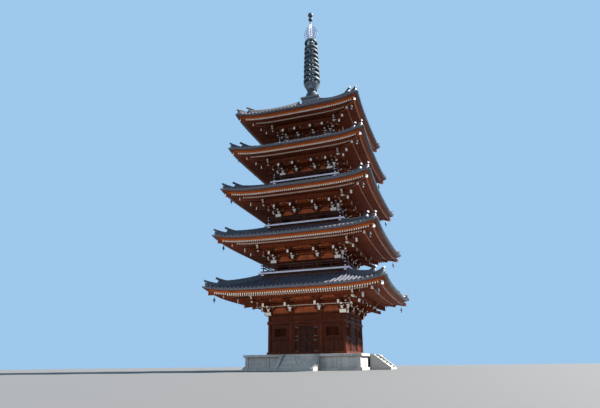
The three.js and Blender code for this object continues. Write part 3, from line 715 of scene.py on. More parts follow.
def strut(heap, start, end, width, height, finish=0, ends=(0, 0), chamfer=0.0):
    """A timber between two points, cut square to its own length."""
    along = unit(np.asarray(end, float) - start)
    across = unit(np.cross(along, UP))
    top = np.cross(across, along)
    stations = [(point, across, top) for point in (start, end)]
    sweep(heap, rectangle(width, height, chamfer), stations, finish, ends)


def upright(heap, x, y, z0, z1, width, depth=None, finish=0, chamfer=0.0):
    """A standing timber of rectangular section."""
    beam(heap, [(x, y, z0), (x, y, z1)], width, depth or width, finish,
         chamfer=chamfer, up=-FRONT)


def bays(left, right, count):
    """Equal bays between two places, each as its own two edges."""
    edges = np.linspace(left, right, count + 1)
    return list(zip(edges, edges[1:]))


print("sweeps are ready")

# %% Saw a plank, turn a form, cut a bearing block
LEAST_GRAIN_RADIUS = 0.05
BLOCK_SHAPE = ((0.0, 0.70), (0.22, 0.76), (0.42, 1.0), (1.0, 1.0))


def plank(heap, outline, thickness, origin, outward, finish=0):
    """An anticlockwise outline of (reach, height) sawn from a board that points outward."""
    outward = unit(outward)
    half = np.cross(UP, outward) * thickness / 2
    sweep(heap, outline, [(origin + side, outward, UP) for side in (-half, half)], finish)


def turned(heap, outline, centre=(0, 0, 0), segments=16, finish=0):
    """Spins an outline of (radius, height) points round an upright axis. The outside is listed
    upward, and an outline that ends where it starts makes a ring."""
    closed = outline[0] == outline[-1]
    centre = np.asarray(centre, float)
    run_start, girth_start = grain_offset()
    rows, points, length = [], [], 0.0
    for index, (radius, height) in enumerate(outline):
        if index:
            length += math.dist(outline[index - 1], outline[index])
        count = segments if radius > 0 else 1
        start = len(points)
        if closed and index == len(outline) - 1:
            start = 0
        else:
            points += [centre + radius * compass_point(step * math.tau / segments) + UP * height
                       for step in range(count)]
        rows.append((start, count, run_start + length, max(radius, LEAST_GRAIN_RADIUS)))
    faces, grain = [], []
    for (low, low_count, u0, r0), (high, high_count, u1, r1) in zip(rows, rows[1:]):
        for step in range(segments if low_count + high_count > 2 else 0):
            after = (step + 1) % segments
            v0, v1 = (girth_start + place * math.tau / segments for place in (step, step + 1))
            face = [(low + step % low_count, (u0, v0 * r0))]
            if low_count > 1:
                face.append((low + after, (u0, v1 * r0)))
            if high_count > 1:
                face.append((high + after, (u1, v1 * r1)))
            face.append((high + step % high_count, (u1, v0 * r1)))
            faces.append(tuple(corner for corner, place in face))
            grain += [place for corner, place in face]
    heap.add(np.array(points), faces, [finish] * len(faces), grain)


def bearing_block(heap, centre, half, height, finish=0, outward=FRONT):
    """A block that spreads the load of a post or an arm: square above, hollowed in below."""
    outward = unit(outward)
    through = np.cross(UP, outward)
    stations = [(centre + UP * height * rise, through * share, outward * share)
                for rise, share in BLOCK_SHAPE]
    sweep(heap, rectangle(2 * half, 2 * half), stations, finish)


print("planks, turned forms and blocks are ready")

# %% [markdown]
# A heap becomes a Blender object once. At that point it gets its materials, rides on the
# tower or on a door leaf, and says which plain solids of the frame it stands for.

# %% Make a piece from a heap
PIECE_TRIANGLES = {}
SHARP_ANGLE = math.radians(40)


def make_piece(name, heap, materials, nodes=(), body="tower"):
    points = np.vstack(heap.points)
    mesh = bpy.data.meshes.new(name)
    mesh.from_pydata(points.tolist(), [], heap.faces)
    grain = mesh.uv_layers.new(name="Grain")
    grain.data.foreach_set("uv", np.asarray(heap.grain, np.float32).ravel())
    for material in materials:
        mesh.materials.append(material)
    mesh.polygons.foreach_set("material_index", np.asarray(heap.finishes, np.int32))
    mesh.shade_smooth()
    mesh.set_sharp_from_angle(angle=SHARP_ANGLE)
    mesh.update()
    piece = add_object(name, mesh)
    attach(piece, body)
    if nodes:
        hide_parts(*nodes)
    PIECE_TRIANGLES[name] = sum(len(face) - 2 for face in heap.faces)
    print(f"{name}: {PIECE_TRIANGLES[name]} triangles")


print("pieces can be made")

# %% [markdown]
# The podium is a chest of dressed granite: a base course, short posts with panels between
# them, and a coping that stands out over both. Masons set each stone on its own, so each one
# here is its own block with softened edges, and the joints between them are real.

# %% Podium
PODIUM_TOP = 1.25
PODIUM_HALF = 4.95
PODIUM_FACE = 4.82
BASE_COURSE = 0.22
COPING = 0.20
COURSES = ((0.5, (0.0, BASE_COURSE), 7), (0.62, (PODIUM_TOP - COPING, PODIUM_TOP), 6))
PODIUM_BAYS = 5
PODIUM_POST_HALF = 0.14
PANEL_DEPTHS = (0.035, 0.25)
JOINT = 0.006
STONE_CHAMFER = 0.012
PAVING_COUNT = 14
PAVING_THICK = 0.08
POST_BASE_HEIGHT = 0.05


def hewn(heap, low, high, chamfer=STONE_CHAMFER):
    """A block between two corners, with every edge softened."""
    low, high = np.asarray(low, float), np.asarray(high, float)
    middle = (low + high) / 2
    width, height = high[1] - low[1], high[2] - low[2]
    narrow = FRONT * (width - 2 * chamfer) / width
    short = UP * (height - 2 * chamfer) / height
    stations = [((low[0], middle[1], middle[2]), narrow, short),
                ((low[0] + chamfer, middle[1], middle[2]), FRONT, UP),
                ((high[0] - chamfer, middle[1], middle[2]), FRONT, UP),
                ((high[0], middle[1], middle[2]), narrow, short)]
    sweep(heap, rectangle(width, height, chamfer), stations)


def podium_side():
    heap = Heap()
    for depth, (low, high), count in COURSES:
        for left, right in bays(-PODIUM_HALF, PODIUM_HALF - depth, count):
            hewn(heap, (left + JOINT / 2, -PODIUM_HALF, low),
                 (right - JOINT / 2, depth - PODIUM_HALF, high))
    low, high = BASE_COURSE + JOINT, PODIUM_TOP - COPING - JOINT
    half, face = PODIUM_POST_HALF, -PODIUM_FACE
    openings = bays(face + half, -face - half, PODIUM_BAYS)
    for left, right in openings:
        hewn(heap, (left - half, face, low), (left + half, face + 2 * half, high))
    for left, right in openings:
        hewn(heap, (left + half + JOINT, face + PANEL_DEPTHS[0], low),
             (right - half - JOINT, face + PANEL_DEPTHS[1], high))
    return heap.around()


def podium_inside(heap):
    """Mortar behind the joints, the paving, and a round base under each post."""
    core = PODIUM_FACE - 0.06
    hewn(heap, (-core, -core, 0.002), (core, core, PODIUM_TOP - 0.012))
    reach = PODIUM_HALF - COURSES[1][0]
    slabs = bays(-reach, reach, PAVING_COUNT)
    for x0, x1 in slabs:
        for y0, y1 in slabs:
            hewn(heap, (x0 + JOINT / 2, y0 + JOINT / 2, PODIUM_TOP - PAVING_THICK),
                 (x1 - JOINT / 2, y1 - JOINT / 2, PODIUM_TOP - 0.001), chamfer=0.006)
    foot, head = PODIUM_TOP - 0.02, PODIUM_TOP + POST_BASE_HEIGHT
    round_posts(heap, STOREYS[0], [(0, foot), (0.29, foot), (0.28, PODIUM_TOP + 0.02),
                                   (0.23, head), (0, head)], 24)


def round_posts(heap, storey, outline, segments, finish=0):
    """Turns a form at the places of the twelve posts of a storey."""
    body, lines = storey.body, (-storey.body, -storey.bay, storey.bay)
    places = [(along, -body) for along in lines] + [(body, along) for along in lines]
    places += [(-along, body) for along in lines] + [(-body, -along) for along in lines]
    for x, y in places:
        turned(heap, outline, (x, y, 0), segments, finish)


podium = podium_side()
podium_inside(podium)
make_piece("podium_stones", podium, [GRANITE], ["podium"])

# %% [markdown]
# Four flights of steps lead up to the four doors. Each step is two long stones that lie a
# little way under the one above, and the sloping cheek stones at the sides hold them in.

# %% Steps
STEP_COUNT = 7
TREAD = 0.28
FLIGHT_HALF = 1.30
CHEEK = 0.30
STEP_TUCK = 0.06
STEP_JOINT_SHIFT = 0.2


def flight_of_steps():
    heap = Heap()
    rise = PODIUM_TOP / STEP_COUNT
    near = PODIUM_HALF + GAP
    run = (STEP_COUNT - 1) * TREAD
    for step in range(1, STEP_COUNT):
        edge = near + run - (step - 1) * TREAD
        back = max(edge - TREAD - STEP_TUCK, near)
        joint = -STEP_JOINT_SHIFT * (step % 2)
        for left, right in ((-FLIGHT_HALF, joint), (joint, FLIGHT_HALF)):
            hewn(heap, (left + JOINT, -edge, (step - 1) * rise + 0.002),
                 (right - JOINT, -back, step * rise), chamfer=0.014)
    outline = [(near, 0.0), (near + run, 0.0), (near + run, rise), (near + TREAD, PODIUM_TOP),
               (near, PODIUM_TOP)]
    for hand in (-1, 1):
        middle = hand * (FLIGHT_HALF + CHEEK / 2)
        plank(heap, outline, CHEEK - 2 * JOINT, (middle, 0, 0), FRONT)
    return heap


SIDES = ("front", "right", "back", "left")
make_piece("stone_steps", flight_of_steps().around(), [GRANITE],
           [f"steps_{side}" for side in SIDES])

# %% [markdown]
# The ground storey has twelve round posts, three bays on a side. Squared beams clasp the
# posts from outside at the sill and over the doors, a tie beam passes through the post heads,
# and a flat plate lies on top to carry the bracket sets. The posts are turned smooth, so they
# are spun forms, and all the squared work is swept.

# %% Ground frame
POST_RADIUS = 0.17
SILL = (1.27, 1.47)
LINTEL_BOTTOM = 3.49
NAGESHI = (3.74, 3.98)
TIE = (4.15, 4.40)
CLASP = (0.20, -0.10)
TIE_HALF = 0.09
PLATE_HALF = 0.26
PLATE_HEIGHT = 0.09
JAMB_FACE = 1.00
JAMB_THICK = 0.15
BLOCK_HALF_HEIGHT = 0.09


def clasping_beam(heap, body, offsets, low, high):
    """A beam that butts against the next side's at one corner and covers it at the other."""
    outer, inner = body + offsets[0], body + offsets[1]
    side_run(heap, -outer, inner, outer, inner, low, high, chamfer=0.012)


def ground_frame_side(body, inner_face, head):
    """Beams, door jambs and lintel. inner_face is where the posts beside the door begin."""
    heap = Heap()
    clasping_beam(heap, body, CLASP, *SILL)
    clasping_beam(heap, body, CLASP, *NAGESHI)
    clasping_beam(heap, body, (TIE_HALF, -TIE_HALF), *TIE)
    clasping_beam(heap, body, (PLATE_HALF, -PLATE_HALF), head - PLATE_HEIGHT, head)
    for low, high in ((NAGESHI[1], TIE[0] - GAP), (TIE[1], head)):
        side_run(heap, -body, body, body + 0.05, body - 0.05, low, high)
    for hand in (-1, 1):
        upright(heap, hand * (JAMB_FACE + inner_face) / 2, -body, SILL[1], LINTEL_BOTTOM,
                inner_face - JAMB_FACE, JAMB_THICK, chamfer=0.015)
        upright(heap, hand * (JAMB_FACE + 0.05), -body - 0.09, SILL[1], LINTEL_BOTTOM, 0.10, 0.05,
                chamfer=0.012)
    side_run(heap, -inner_face, inner_face, body + JAMB_THICK / 2, body - JAMB_THICK / 2,
             LINTEL_BOTTOM, NAGESHI[0], chamfer=0.015)
    side_run(heap, -JAMB_FACE - 0.1, JAMB_FACE + 0.1, body + 0.115, body + 0.065, LINTEL_BOTTOM,
             LINTEL_BOTTOM + 0.10, chamfer=0.012)
    return heap.around()


def post_outline(radius, foot, head):
    """A post that swells a little in its lower half and narrows to its head."""
    return [(0, foot), (radius * 0.97, foot), (radius, foot + (head - foot) * 0.35),
            (radius, head - 0.3), (radius * 0.90, head), (0, head)]


GROUND = STOREYS[0]
post_head = GROUND.block - BLOCK_HALF_HEIGHT
ground_frame = ground_frame_side(GROUND.body, GROUND.bay - POST_RADIUS / 2, post_head)
round_posts(ground_frame, GROUND,
            post_outline(POST_RADIUS, PODIUM_TOP + POST_BASE_HEIGHT, post_head), 24)
make_piece("ground_posts_and_beams", ground_frame, [POST_TIMBER], ["ground_frame"])

# %% [markdown]
# Each side bay of the ground storey is closed with upright boards below a waist beam, and has
# a barred window above it. The bars are square and stand edge outward, as is usual, so that
# they shed rain and catch the light along one line.

# %% Side bays with barred windows
WAIST = (2.43, 2.56)
WINDOW = (2.62, 3.48)
WINDOW_HALF = 0.60
WINDOW_DEPTH = 0.14
WALL_BOARDS = 8
BOARD_THICK = 0.05
BOARD_JOINT = 0.004
LINER_THICK = 0.012


def upright_boards(heap, left, right, outward, low, high, count=1):
    """Boards side by side, every second one a little forward, with a thin liner behind."""
    for index, (x0, x1) in enumerate(bays(left, right, count)):
        upright(heap, (x0 + x1) / 2, -outward - 0.008 * (index % 2), low, high,
                x1 - x0 - BOARD_JOINT, BOARD_THICK, chamfer=0.006)
    if count > 1:
        upright(heap, (left + right) / 2, -outward + (BOARD_THICK - LINER_THICK) / 2 + 0.003,
                low + 0.002, high - 0.002, right - left - 0.01, LINER_THICK)


def barred_window(heap, centre, half, outward, low, high, bars=11, edge=0.08, bar_side=0.036):
    """A frame round upright bars that stand edge outward."""
    inner = half - edge
    for hand in (-1, 1):
        upright(heap, centre + hand * (half - edge / 2), -outward, low, high, edge, WINDOW_DEPTH,
                1, chamfer=0.01)
    for z in (low, high - edge):
        side_run(heap, centre - inner, centre + inner, outward + WINDOW_DEPTH / 2,
                 outward - WINDOW_DEPTH / 2, z, z + edge, 1, (1, 1), chamfer=0.01)
    for place in np.linspace(centre - inner, centre + inner, bars + 2)[1:-1]:
        stations = [((place, -outward, z), -RIGHT, -FRONT) for z in (low + edge, high - edge)]
        sweep(heap, polygon(bar_side, 4, -1), stations)


def bay_wall(centre, body):
    half = (body - GROUND.bay) / 2 - POST_RADIUS + 0.03
    left, right = centre - half, centre + half
    window_left, window_right = centre - WINDOW_HALF, centre + WINDOW_HALF
    top = NAGESHI[0] - GAP
    heap = Heap()
    upright_boards(heap, left, right, body, SILL[1] + GAP, WAIST[0], WALL_BOARDS)
    side_run(heap, left, right, body + 0.16, body - 0.06, *WAIST, chamfer=0.012)
    for x0, x1 in ((left, window_left), (window_right, right)):
        upright_boards(heap, x0, x1, body, WAIST[1], top)
    for low, high in ((WAIST[1], WINDOW[0]), (WINDOW[1], top)):
        side_run(heap, window_left, window_right, body + 0.04, body - 0.04, low, high,
                 chamfer=0.006)
    barred_window(heap, centre, WINDOW_HALF, body, *WINDOW)
    return heap


bay_middle = (GROUND.body + GROUND.bay) / 2
for hand, name in ((-1, "left"), (1, "right")):
    walls = bay_wall(hand * bay_middle, GROUND.body).around()
    make_piece(f"ground_bays_{name}", walls, [BOARD_TIMBER, POST_TIMBER],
               [f"{side}_wall_{name}" for side in SIDES])

# %% [markdown]
# The doors are framed and panelled. A leaf has two stiles, a middle muntin and six rails,
# with raised panels let into the frame, and iron straps and a ring where hands and weather
# wear it most. The front pair really turns on pins at its outer stiles, so each leaf is one
# piece that rides on its own body. The other three pairs stay shut.

# %% Doors
LEAF_GAP = 0.0025
LEAF_EDGE = 0.98
LEAF_HALF = 0.03
LEAF_Z = (1.476, 3.484)
HINGE_X = 0.95
PIN_RADIUS = 0.022
RAIL_SHARES = (0.0, 0.17, 0.43, 0.60, 0.86)
STRAPPED_RAILS = (0, 2, 3, 5)
STILE = 0.10
PANEL_MARGIN = 0.08
NAIL_PITCH = 0.08
HANDLE_RADIUS = 0.045
HANDLE_THICK = 0.006
HANDLE_SEGMENTS = 14
FRAME, PANEL, IRON = 0, 1, 2
DOME = ((0.0, 1.0), (0.5, 0.85), (0.85, 0.45))


def door_leaf(hand, outward, pinned=True):
    """One leaf, left of the middle if hand is -1, with a hinge pin if it really turns."""
    heap = Heap()
    low, high = LEAF_Z
    inner_left, inner_right = LEAF_GAP + STILE, LEAF_EDGE - STILE
    middle = (LEAF_GAP + LEAF_EDGE) / 2

    def across(x0, x1, depth, height, z, finish=FRAME, forward=0.0, chamfer=0.0):
        """A level member of the leaf, between two places counted from the door's middle."""
        place = outward + forward
        side_run(heap, hand * x0, hand * x1, place + depth / 2, place - depth / 2,
                 z - height / 2, z + height / 2, finish, (finish, finish), chamfer)

    for x in (LEAF_GAP + STILE / 2, LEAF_EDGE - STILE / 2):
        upright(heap, hand * x, -outward, low, high, STILE, 2 * LEAF_HALF, chamfer=0.008)
    upright(heap, hand * middle, -outward, low + STILE, high - STILE, 0.07, 1.6 * LEAF_HALF,
            chamfer=0.006)
    rails = [low + share * (high - low) + STILE / 2 for share in RAIL_SHARES] + [high - STILE / 2]
    for z in rails:
        across(inner_left, inner_right, 1.8 * LEAF_HALF, STILE, z, chamfer=0.008)
    for z0, z1 in zip(rails, rails[1:]):
        tall, z = z1 - z0 - STILE, (z0 + z1) / 2
        for x0, x1 in ((inner_left, middle), (middle, inner_right)):
            across(x0, x1, 0.022, tall, z, PANEL)
            across(x0 + PANEL_MARGIN, x1 - PANEL_MARGIN, 0.034, max(tall - 0.09, 0.05), z, PANEL,
                   chamfer=0.006)
    for rail in STRAPPED_RAILS:
        across(LEAF_EDGE - 0.30, LEAF_EDGE - 0.005, 0.007, 0.07, rails[rail], IRON,
               LEAF_HALF + 0.003)
        for nail in range(4):
            boss(heap, hand * (LEAF_EDGE - 0.27 + NAIL_PITCH * nail), outward + LEAF_HALF + 0.006,
                 rails[rail], 0.014)
    handle = hand * (LEAF_GAP + 0.05)
    boss(heap, handle, outward + LEAF_HALF, rails[2], 0.035)
    drop_ring(heap, np.array([handle, -outward - LEAF_HALF - 0.02, rails[2] - 0.05]))
    if pinned:
        foot, head = SILL[1] + GAP, LINTEL_BOTTOM - GAP
        turned(heap, [(0, foot), (PIN_RADIUS, foot), (PIN_RADIUS, head), (0, head)],
               (hand * HINGE_X, -outward, 0), 12, IRON)
    return heap


def boss(heap, x, face, z, radius):
    """A domed nail head on the outside of a door."""
    steps = [(depth * radius, size * radius) for depth, size in DOME]
    pressed(heap, polygon(1.0, 8, 0), np.array([x, -face, z]), FRONT, steps, IRON)


def drop_ring(heap, centre):
    """A ring handle that hangs against the door."""
    directions = [math.cos(angle) * RIGHT + math.sin(angle) * UP
                  for angle in np.linspace(0, math.tau, HANDLE_SEGMENTS + 1)]
    stations = [(centre + outward * HANDLE_RADIUS, -FRONT, outward) for outward in directions]
    sweep(heap, polygon(HANDLE_THICK, 6, 0), stations, IRON, (IRON, IRON))


DOOR_FINISHES = [DOOR_TIMBER, BOARD_TIMBER, DARK_IRON]
for hand, name in ((-1, "left"), (1, "right")):
    make_piece(f"front_door_leaf_{name}", door_leaf(hand, GROUND.body), DOOR_FINISHES,
               [f"front_door_{name}"], body=f"{name}_leaf")

for turn, side in enumerate(SIDES[1:], 1):
    pair = Heap()
    for hand in (-1, 1):
        pair.take(door_leaf(hand, GROUND.body, pinned=False))
    make_piece(f"{side}_doors", pair.turned_to(turn), DOOR_FINISHES,
               [f"{side}_door_pair"])

# %% [markdown]
# Inside the doors lies a plain floor of wide boards. It shows only while the doors are open,
# but then it shows plainly, so each board has its own tone and a fine gap beside it.

# %% Ground floor boards
FLOOR_TOP = 1.31
FLOOR_BOARDS = 18


def floor_boards(heap, half, top, thick, count):
    for x0, x1 in bays(-half, half, count):
        path = [((x0 + x1) / 2, y, top - thick / 2) for y in (-half, half)]
        beam(heap, path, x1 - x0 - BOARD_JOINT, thick, chamfer=0.004)


ground_floor = Heap()
floor_boards(ground_floor, GROUND.body - POST_RADIUS - 0.01, FLOOR_TOP,
             FLOOR_TOP - PODIUM_TOP - GAP, FLOOR_BOARDS)
make_piece("ground_floor_boards", ground_floor, [BOARD_TIMBER], ["ground_floor"])

# %% [markdown]
# The rafters of each roof rest on the wall and on a purlin farther out. Those two heights
# follow from the roof corner, so they are worked out once and used by everything around them.
# Each upper storey stands on a balcony. Its deck boards run outward and show their white
# painted ends along the edge, a beam carries them, and a boarded skirt closes the space down
# to the roof below. Setting board beside board gives the edge its fine dashed line.

# %% Heights under the rafters
PURLIN_REACH = 1.16
PURLIN_SEAT = 0.10
RAFTER_SLOPE = 0.2126
RAFTER_SEAT_HEIGHT = 0.30
Seats = namedtuple("Seats", "wall_face purlin_inner purlin_outer wall purlin top")


def seats(storey):
    """Where the rafters lie on the wall and on the purlin, and the top of their seat."""
    wall_face = storey.body + 0.08
    purlin_inner = storey.body + PURLIN_REACH - PURLIN_SEAT
    purlin_outer = storey.body + PURLIN_REACH + PURLIN_SEAT
    purlin = storey.tip_z - 0.90 + (storey.tip - 1.40 - purlin_outer) * RAFTER_SLOPE
    wall = purlin + (purlin_inner - wall_face) * RAFTER_SLOPE
    return Seats(wall_face, purlin_inner, purlin_outer, wall, purlin, wall + RAFTER_SEAT_HEIGHT)


print("purlin heights:", [round(seats(storey).purlin, 2) for storey in STOREYS])

# %% Balconies
DECK_HALF_THICK = 0.07
DECK_BOARD = 0.24
DECK_BEAM_WIDTH = 0.30
DECK_BEAM_INSET = 0.20
DECK_BEAM_DROP = 0.21
SKIRT_INSET = 0.25
SKIRT_DROP = 0.42
SKIRT_BOARD = 0.3
SKIRT_CAP = 0.09
JOIST_PITCH = 0.55
LOWER_RING = (0.10, 0.30)
INNER_FLOOR_BOARDS = 16


def deck_boards(heap, balcony, inner):
    """Boards along one side. Together the four sides close round the tower."""
    count = round((balcony.half + inner) / DECK_BOARD)
    for index, (x0, x1) in enumerate(bays(-balcony.half, inner, count)):
        sides = 0 if index else [0, 1, 1, 1, 0, 0, 0, 0]
        path = [((x0 + x1) / 2, -reach, balcony.z + 0.002 * (index % 2))
                for reach in (inner, balcony.half)]
        beam(heap, path, x1 - x0 - BOARD_JOINT, 2 * DECK_HALF_THICK, sides, (0, 1), chamfer=0.004)


def balcony_side(storey, balcony, below):
    z, body = balcony.z, storey.body
    outer = balcony.half - DECK_BEAM_INSET
    skirt = balcony.half - SKIRT_INSET
    foot = z - SKIRT_DROP
    heap = Heap()
    deck_boards(heap, balcony, body + LOWER_RING[0])
    side_run(heap, -outer - 0.10, outer + 0.10, outer, outer - DECK_BEAM_WIDTH,
             z - DECK_BEAM_DROP, z - DECK_HALF_THICK - 0.006, 0, (1, 1), chamfer=0.02)
    for index, (x0, x1) in enumerate(bays(-skirt, skirt - 0.05, round(2 * skirt / SKIRT_BOARD))):
        upright(heap, (x0 + x1) / 2, -skirt + 0.025 + 0.006 * (index % 2), foot,
                z - DECK_BEAM_DROP, x1 - x0 - BOARD_JOINT, 0.05, chamfer=0.006)
    side_run(heap, -skirt - 0.03, skirt - 0.05, skirt + 0.03, skirt - 0.05, foot,
             foot + SKIRT_CAP, chamfer=0.01)
    for x in np.linspace(-skirt + 0.15, skirt - 0.15, round(2 * skirt / JOIST_PITCH)):
        beam(heap, [(x, -skirt + 0.02, z - 0.13), (x, -outer - 0.09, z - 0.13)], 0.09, 0.10,
             chamfer=0.008)
    ring = body + LOWER_RING[1]
    side_run(heap, -ring, ring - 0.2, ring, ring - 0.2, seats(below).top + GAP, foot)
    return heap.around(lap=0.003)


UPPER_STOREYS = list(zip(STOREYS[1:], BALCONIES[1:], STOREYS))
for storey, balcony, below in UPPER_STOREYS:
    decks = balcony_side(storey, balcony, below)
    floor_boards(decks, storey.body + LOWER_RING[0] - 0.004, balcony.z + DECK_HALF_THICK,
                 2 * DECK_HALF_THICK, INNER_FLOOR_BOARDS)
    make_piece(f"{storey.name}_balcony", decks, [RAIL_TIMBER, EDGE_WHITE_SKY_TINT],
               [f"{storey.name}_floor"])

# %% [markdown]
# The railings have three rails that run past each other at the corners: a heavy one on the
# deck, a flat one at mid height and a round one on top that sweeps up a little at its ends.
# All the ends are painted white. Short struts carry the middle rail, and narrower ones the top.

# %% Railings
RAIL_INSET = 0.36
RAIL_OVERHANG = 0.24
RAIL_LAP = 0.004
LOW_RAIL_Z = 0.19
LOW_RAIL_HALF = 0.06
MIDDLE_RAIL_SHARE = 0.72
MIDDLE_RAIL_HALVES = (0.055, 0.03)
ROUND_RAIL_RADIUS = 0.047
STRUT_BAYS = 6


def railing_side(balcony):
    line = balcony.half - RAIL_INSET
    reach = line + RAIL_OVERHANG
    low, top = balcony.z + LOW_RAIL_Z, balcony.z + balcony.rail
    middle = low + (top - low) * MIDDLE_RAIL_SHARE - 0.05
    half, (flat, thin) = LOW_RAIL_HALF, MIDDLE_RAIL_HALVES
    heap = Heap()
    side_run(heap, -reach, reach, line + half, line - half, low - half, low + half, 0, (1, 1),
             chamfer=0.012)
    side_run(heap, -reach, reach, line + flat, line - flat, middle - thin, middle + thin, 0,
             (1, 1), chamfer=0.01)
    curve = [(-reach - 0.02, 0.05), (-reach + 0.08, 0.025), (-reach + 0.2, 0.008), (-line + 0.1, 0)]
    curve += [(-place, rise) for place, rise in reversed(curve)]
    stations = [((place, -line, top + rise), FRONT, UP) for place, rise in curve]
    sweep(heap, polygon(ROUND_RAIL_RADIUS), stations, 0, (1, 1))
    struts = ((balcony.z + DECK_HALF_THICK + 0.001, low - half, 0.09, 0.008),
              (low + half, middle - thin, 0.08, 0.008), (middle + thin, top - 0.02, 0.055, 0.006))
    for x in np.linspace(-line, line, STRUT_BAYS + 1)[:-1]:
        for z0, z1, width, chamfer in struts:
            upright(heap, x, -line, z0, z1, width, chamfer=chamfer)
    return heap.around(lap=RAIL_LAP)


for storey, balcony, below in UPPER_STOREYS:
    make_piece(f"{storey.name}_balcony_rails", railing_side(balcony), [RAIL_TIMBER, EDGE_WHITE_SKY_TINT],
               [f"{storey.name}_railing"])

# %% [markdown]
# The upper walls are low, because most of each storey is hidden behind the roof below. They
# still have round posts, a sill and a lintel beam, a pair of shut doors in the middle bay and
# a barred window in each side bay, as the storey on the ground has.

# %% Upper walls
UPPER_POST_RADIUS = 0.12
WINDOW_SHARES = (0.30, 0.78)
UPPER_SILL_HEIGHT = 0.13
UPPER_BOARD_WIDTH = 0.2
UPPER_DOOR_BOARDS = 4
UPPER_DOOR_GAP = 0.02
BEAMS = 1


def upper_wall_side(storey, foot, head):
    body, bay = storey.body, storey.bay
    low, high = (foot + (head - foot) * share for share in WINDOW_SHARES)
    sill = foot + UPPER_SILL_HEIGHT
    window_half = (body - bay) / 2 - UPPER_POST_RADIUS - 0.10
    door_half = bay - UPPER_POST_RADIUS - 0.06
    heap = Heap()
    for reach, outer, inner, z0, z1 in ((body, 0.15, 0.06, foot + 0.002, sill),
                                        (body, 0.14, 0.06, high + 0.01, high + 0.12),
                                        (body + 0.2, 0.2, 0.2, head - 0.07, head)):
        side_run(heap, -reach, reach, body + outer, body - inner, z0, z1, BEAMS, (1, 1), 0.01)
    side_run(heap, -body, body, body + 0.04, body - 0.04, high + 0.12, head - 0.07)
    for hand in (-1, 1):
        left, right = sorted((hand * (bay + 0.08), hand * (body - 0.08)))
        count = max(round((right - left) / UPPER_BOARD_WIDTH), 2)
        upright_boards(heap, left, right, body, sill, low, count)
        middle = hand * (body + bay) / 2
        for x0, x1 in ((left, middle - window_half), (middle + window_half, right)):
            upright_boards(heap, x0, x1, body, low, high)
        barred_window(heap, middle, window_half, body, low, high, 9, 0.06, 0.028)
    upright(heap, 0, -body, sill, high, 0.05, 0.10, BEAMS, chamfer=0.008)
    for hand in (-1, 1):
        upper_door(heap, hand, door_half, body, sill, high)
        upright(heap, hand * (door_half + 0.05), -body, sill, high, 0.10, 0.14, BEAMS,
                chamfer=0.01)
    return heap.around(lap=0.002)


def upper_door(heap, hand, half, outward, low, high):
    """A shut leaf: boards behind a frame of two stiles and three rails."""
    left, right = sorted((hand * UPPER_DOOR_GAP, hand * half))
    upright_boards(heap, left, right, outward - 0.03, low, high, UPPER_DOOR_BOARDS)
    for x in (left + 0.04, right - 0.04):
        upright(heap, x, -outward - 0.02, low, high, 0.08, 0.05, BEAMS, chamfer=0.006)
    for z in (low + 0.04, (low + high) / 2, high - 0.04):
        side_run(heap, left + 0.08, right - 0.08, outward + 0.0425, outward - 0.0025, z - 0.04,
                 z + 0.04, BEAMS, (1, 1), chamfer=0.006)


for storey, balcony, below in UPPER_STOREYS:
    foot = balcony.z + DECK_HALF_THICK + GAP
    head = storey.block - BLOCK_HALF_HEIGHT - GAP
    walls = upper_wall_side(storey, foot, head)
    radius = UPPER_POST_RADIUS
    round_posts(walls, storey, [(0, foot), (radius, foot), (radius, head - 0.2),
                                (radius * 0.92, head), (0, head)], 16, BEAMS)
    make_piece(f"{storey.name}_wall_work", walls, [BOARD_TIMBER, POST_TIMBER],
               [f"{storey.name}_walls"])

# %% [markdown]
# Bracket sets carry the eaves far out over the wall. From a big block on the post head, arms
# step out two times, each with small blocks on it, and a long slanting tail reaches past them
# and carries the purlin on its back. The noses of the arms are cut to a curve and painted
# white, and so are the outer blocks, which draws the white marks under every roof. All five
# storeys use the same set, lower each time, so its heights come from the room under the purlin.

# %% Parts of a bracket set
ARM_WIDTH = 0.16
GREAT_BLOCK_HALF = 0.23
SMALL_BLOCK_HALF = 0.115
NOSE_BLOCK_HALF = 0.16
FIRST_STEP = 0.37
SECOND_STEP = 0.69
TAIL_END = 1.68
TAIL_SLOPE = 0.25
TAIL_WIDTH = 0.17
TAIL_HEIGHT = 0.27
CORNER_TAIL_WIDTH = 0.20
CORNER_STRETCH = 1.14
CORNER_BLOCK_HALF = 0.20
PURLIN_DROP = 0.38
SEAT_ARM_HALF = 0.50
FULL_SET_HEIGHT = 1.139
PLATE_END_WIDTH = 0.55
PLATE_END_INSET = 0.05
PLATE_END_Z = (-0.22, 0.06)
RIB_PITCH = 0.24
ROOT_TWO = math.sqrt(2)
CORNER = FRONT + RIGHT
PLAIN, WHITE, FRIEZE = 0, 1, 2


def purlin_foot(storey):
    return seats(storey).purlin - PURLIN_DROP


def set_scale(storey):
    """How tall a storey's bracket sets are, against those of the ground storey."""
    return (purlin_foot(storey) - storey.block) / FULL_SET_HEIGHT


def heights(storey, *shares):
    """Heights over a storey's lowest blocks, given in metres for the set on the ground storey."""
    return [storey.block + share * set_scale(storey) for share in shares]


def bracket_arm(heap, place, outward, reach, bottom, top, width=ARM_WIDTH, nose=0.16):
    """An arm with its nose cut to a curve below and painted white."""
    rise = top - bottom
    outline = [(0.0, bottom), (reach - nose, bottom), (reach - nose * 0.55, bottom + rise * 0.10),
               (reach - nose * 0.18, bottom + rise * 0.30), (reach, bottom + rise * 0.56),
               (reach, top), (0.0, top)]
    plank(heap, outline, width, place, outward, [PLAIN, WHITE, WHITE, WHITE, WHITE, PLAIN, PLAIN])


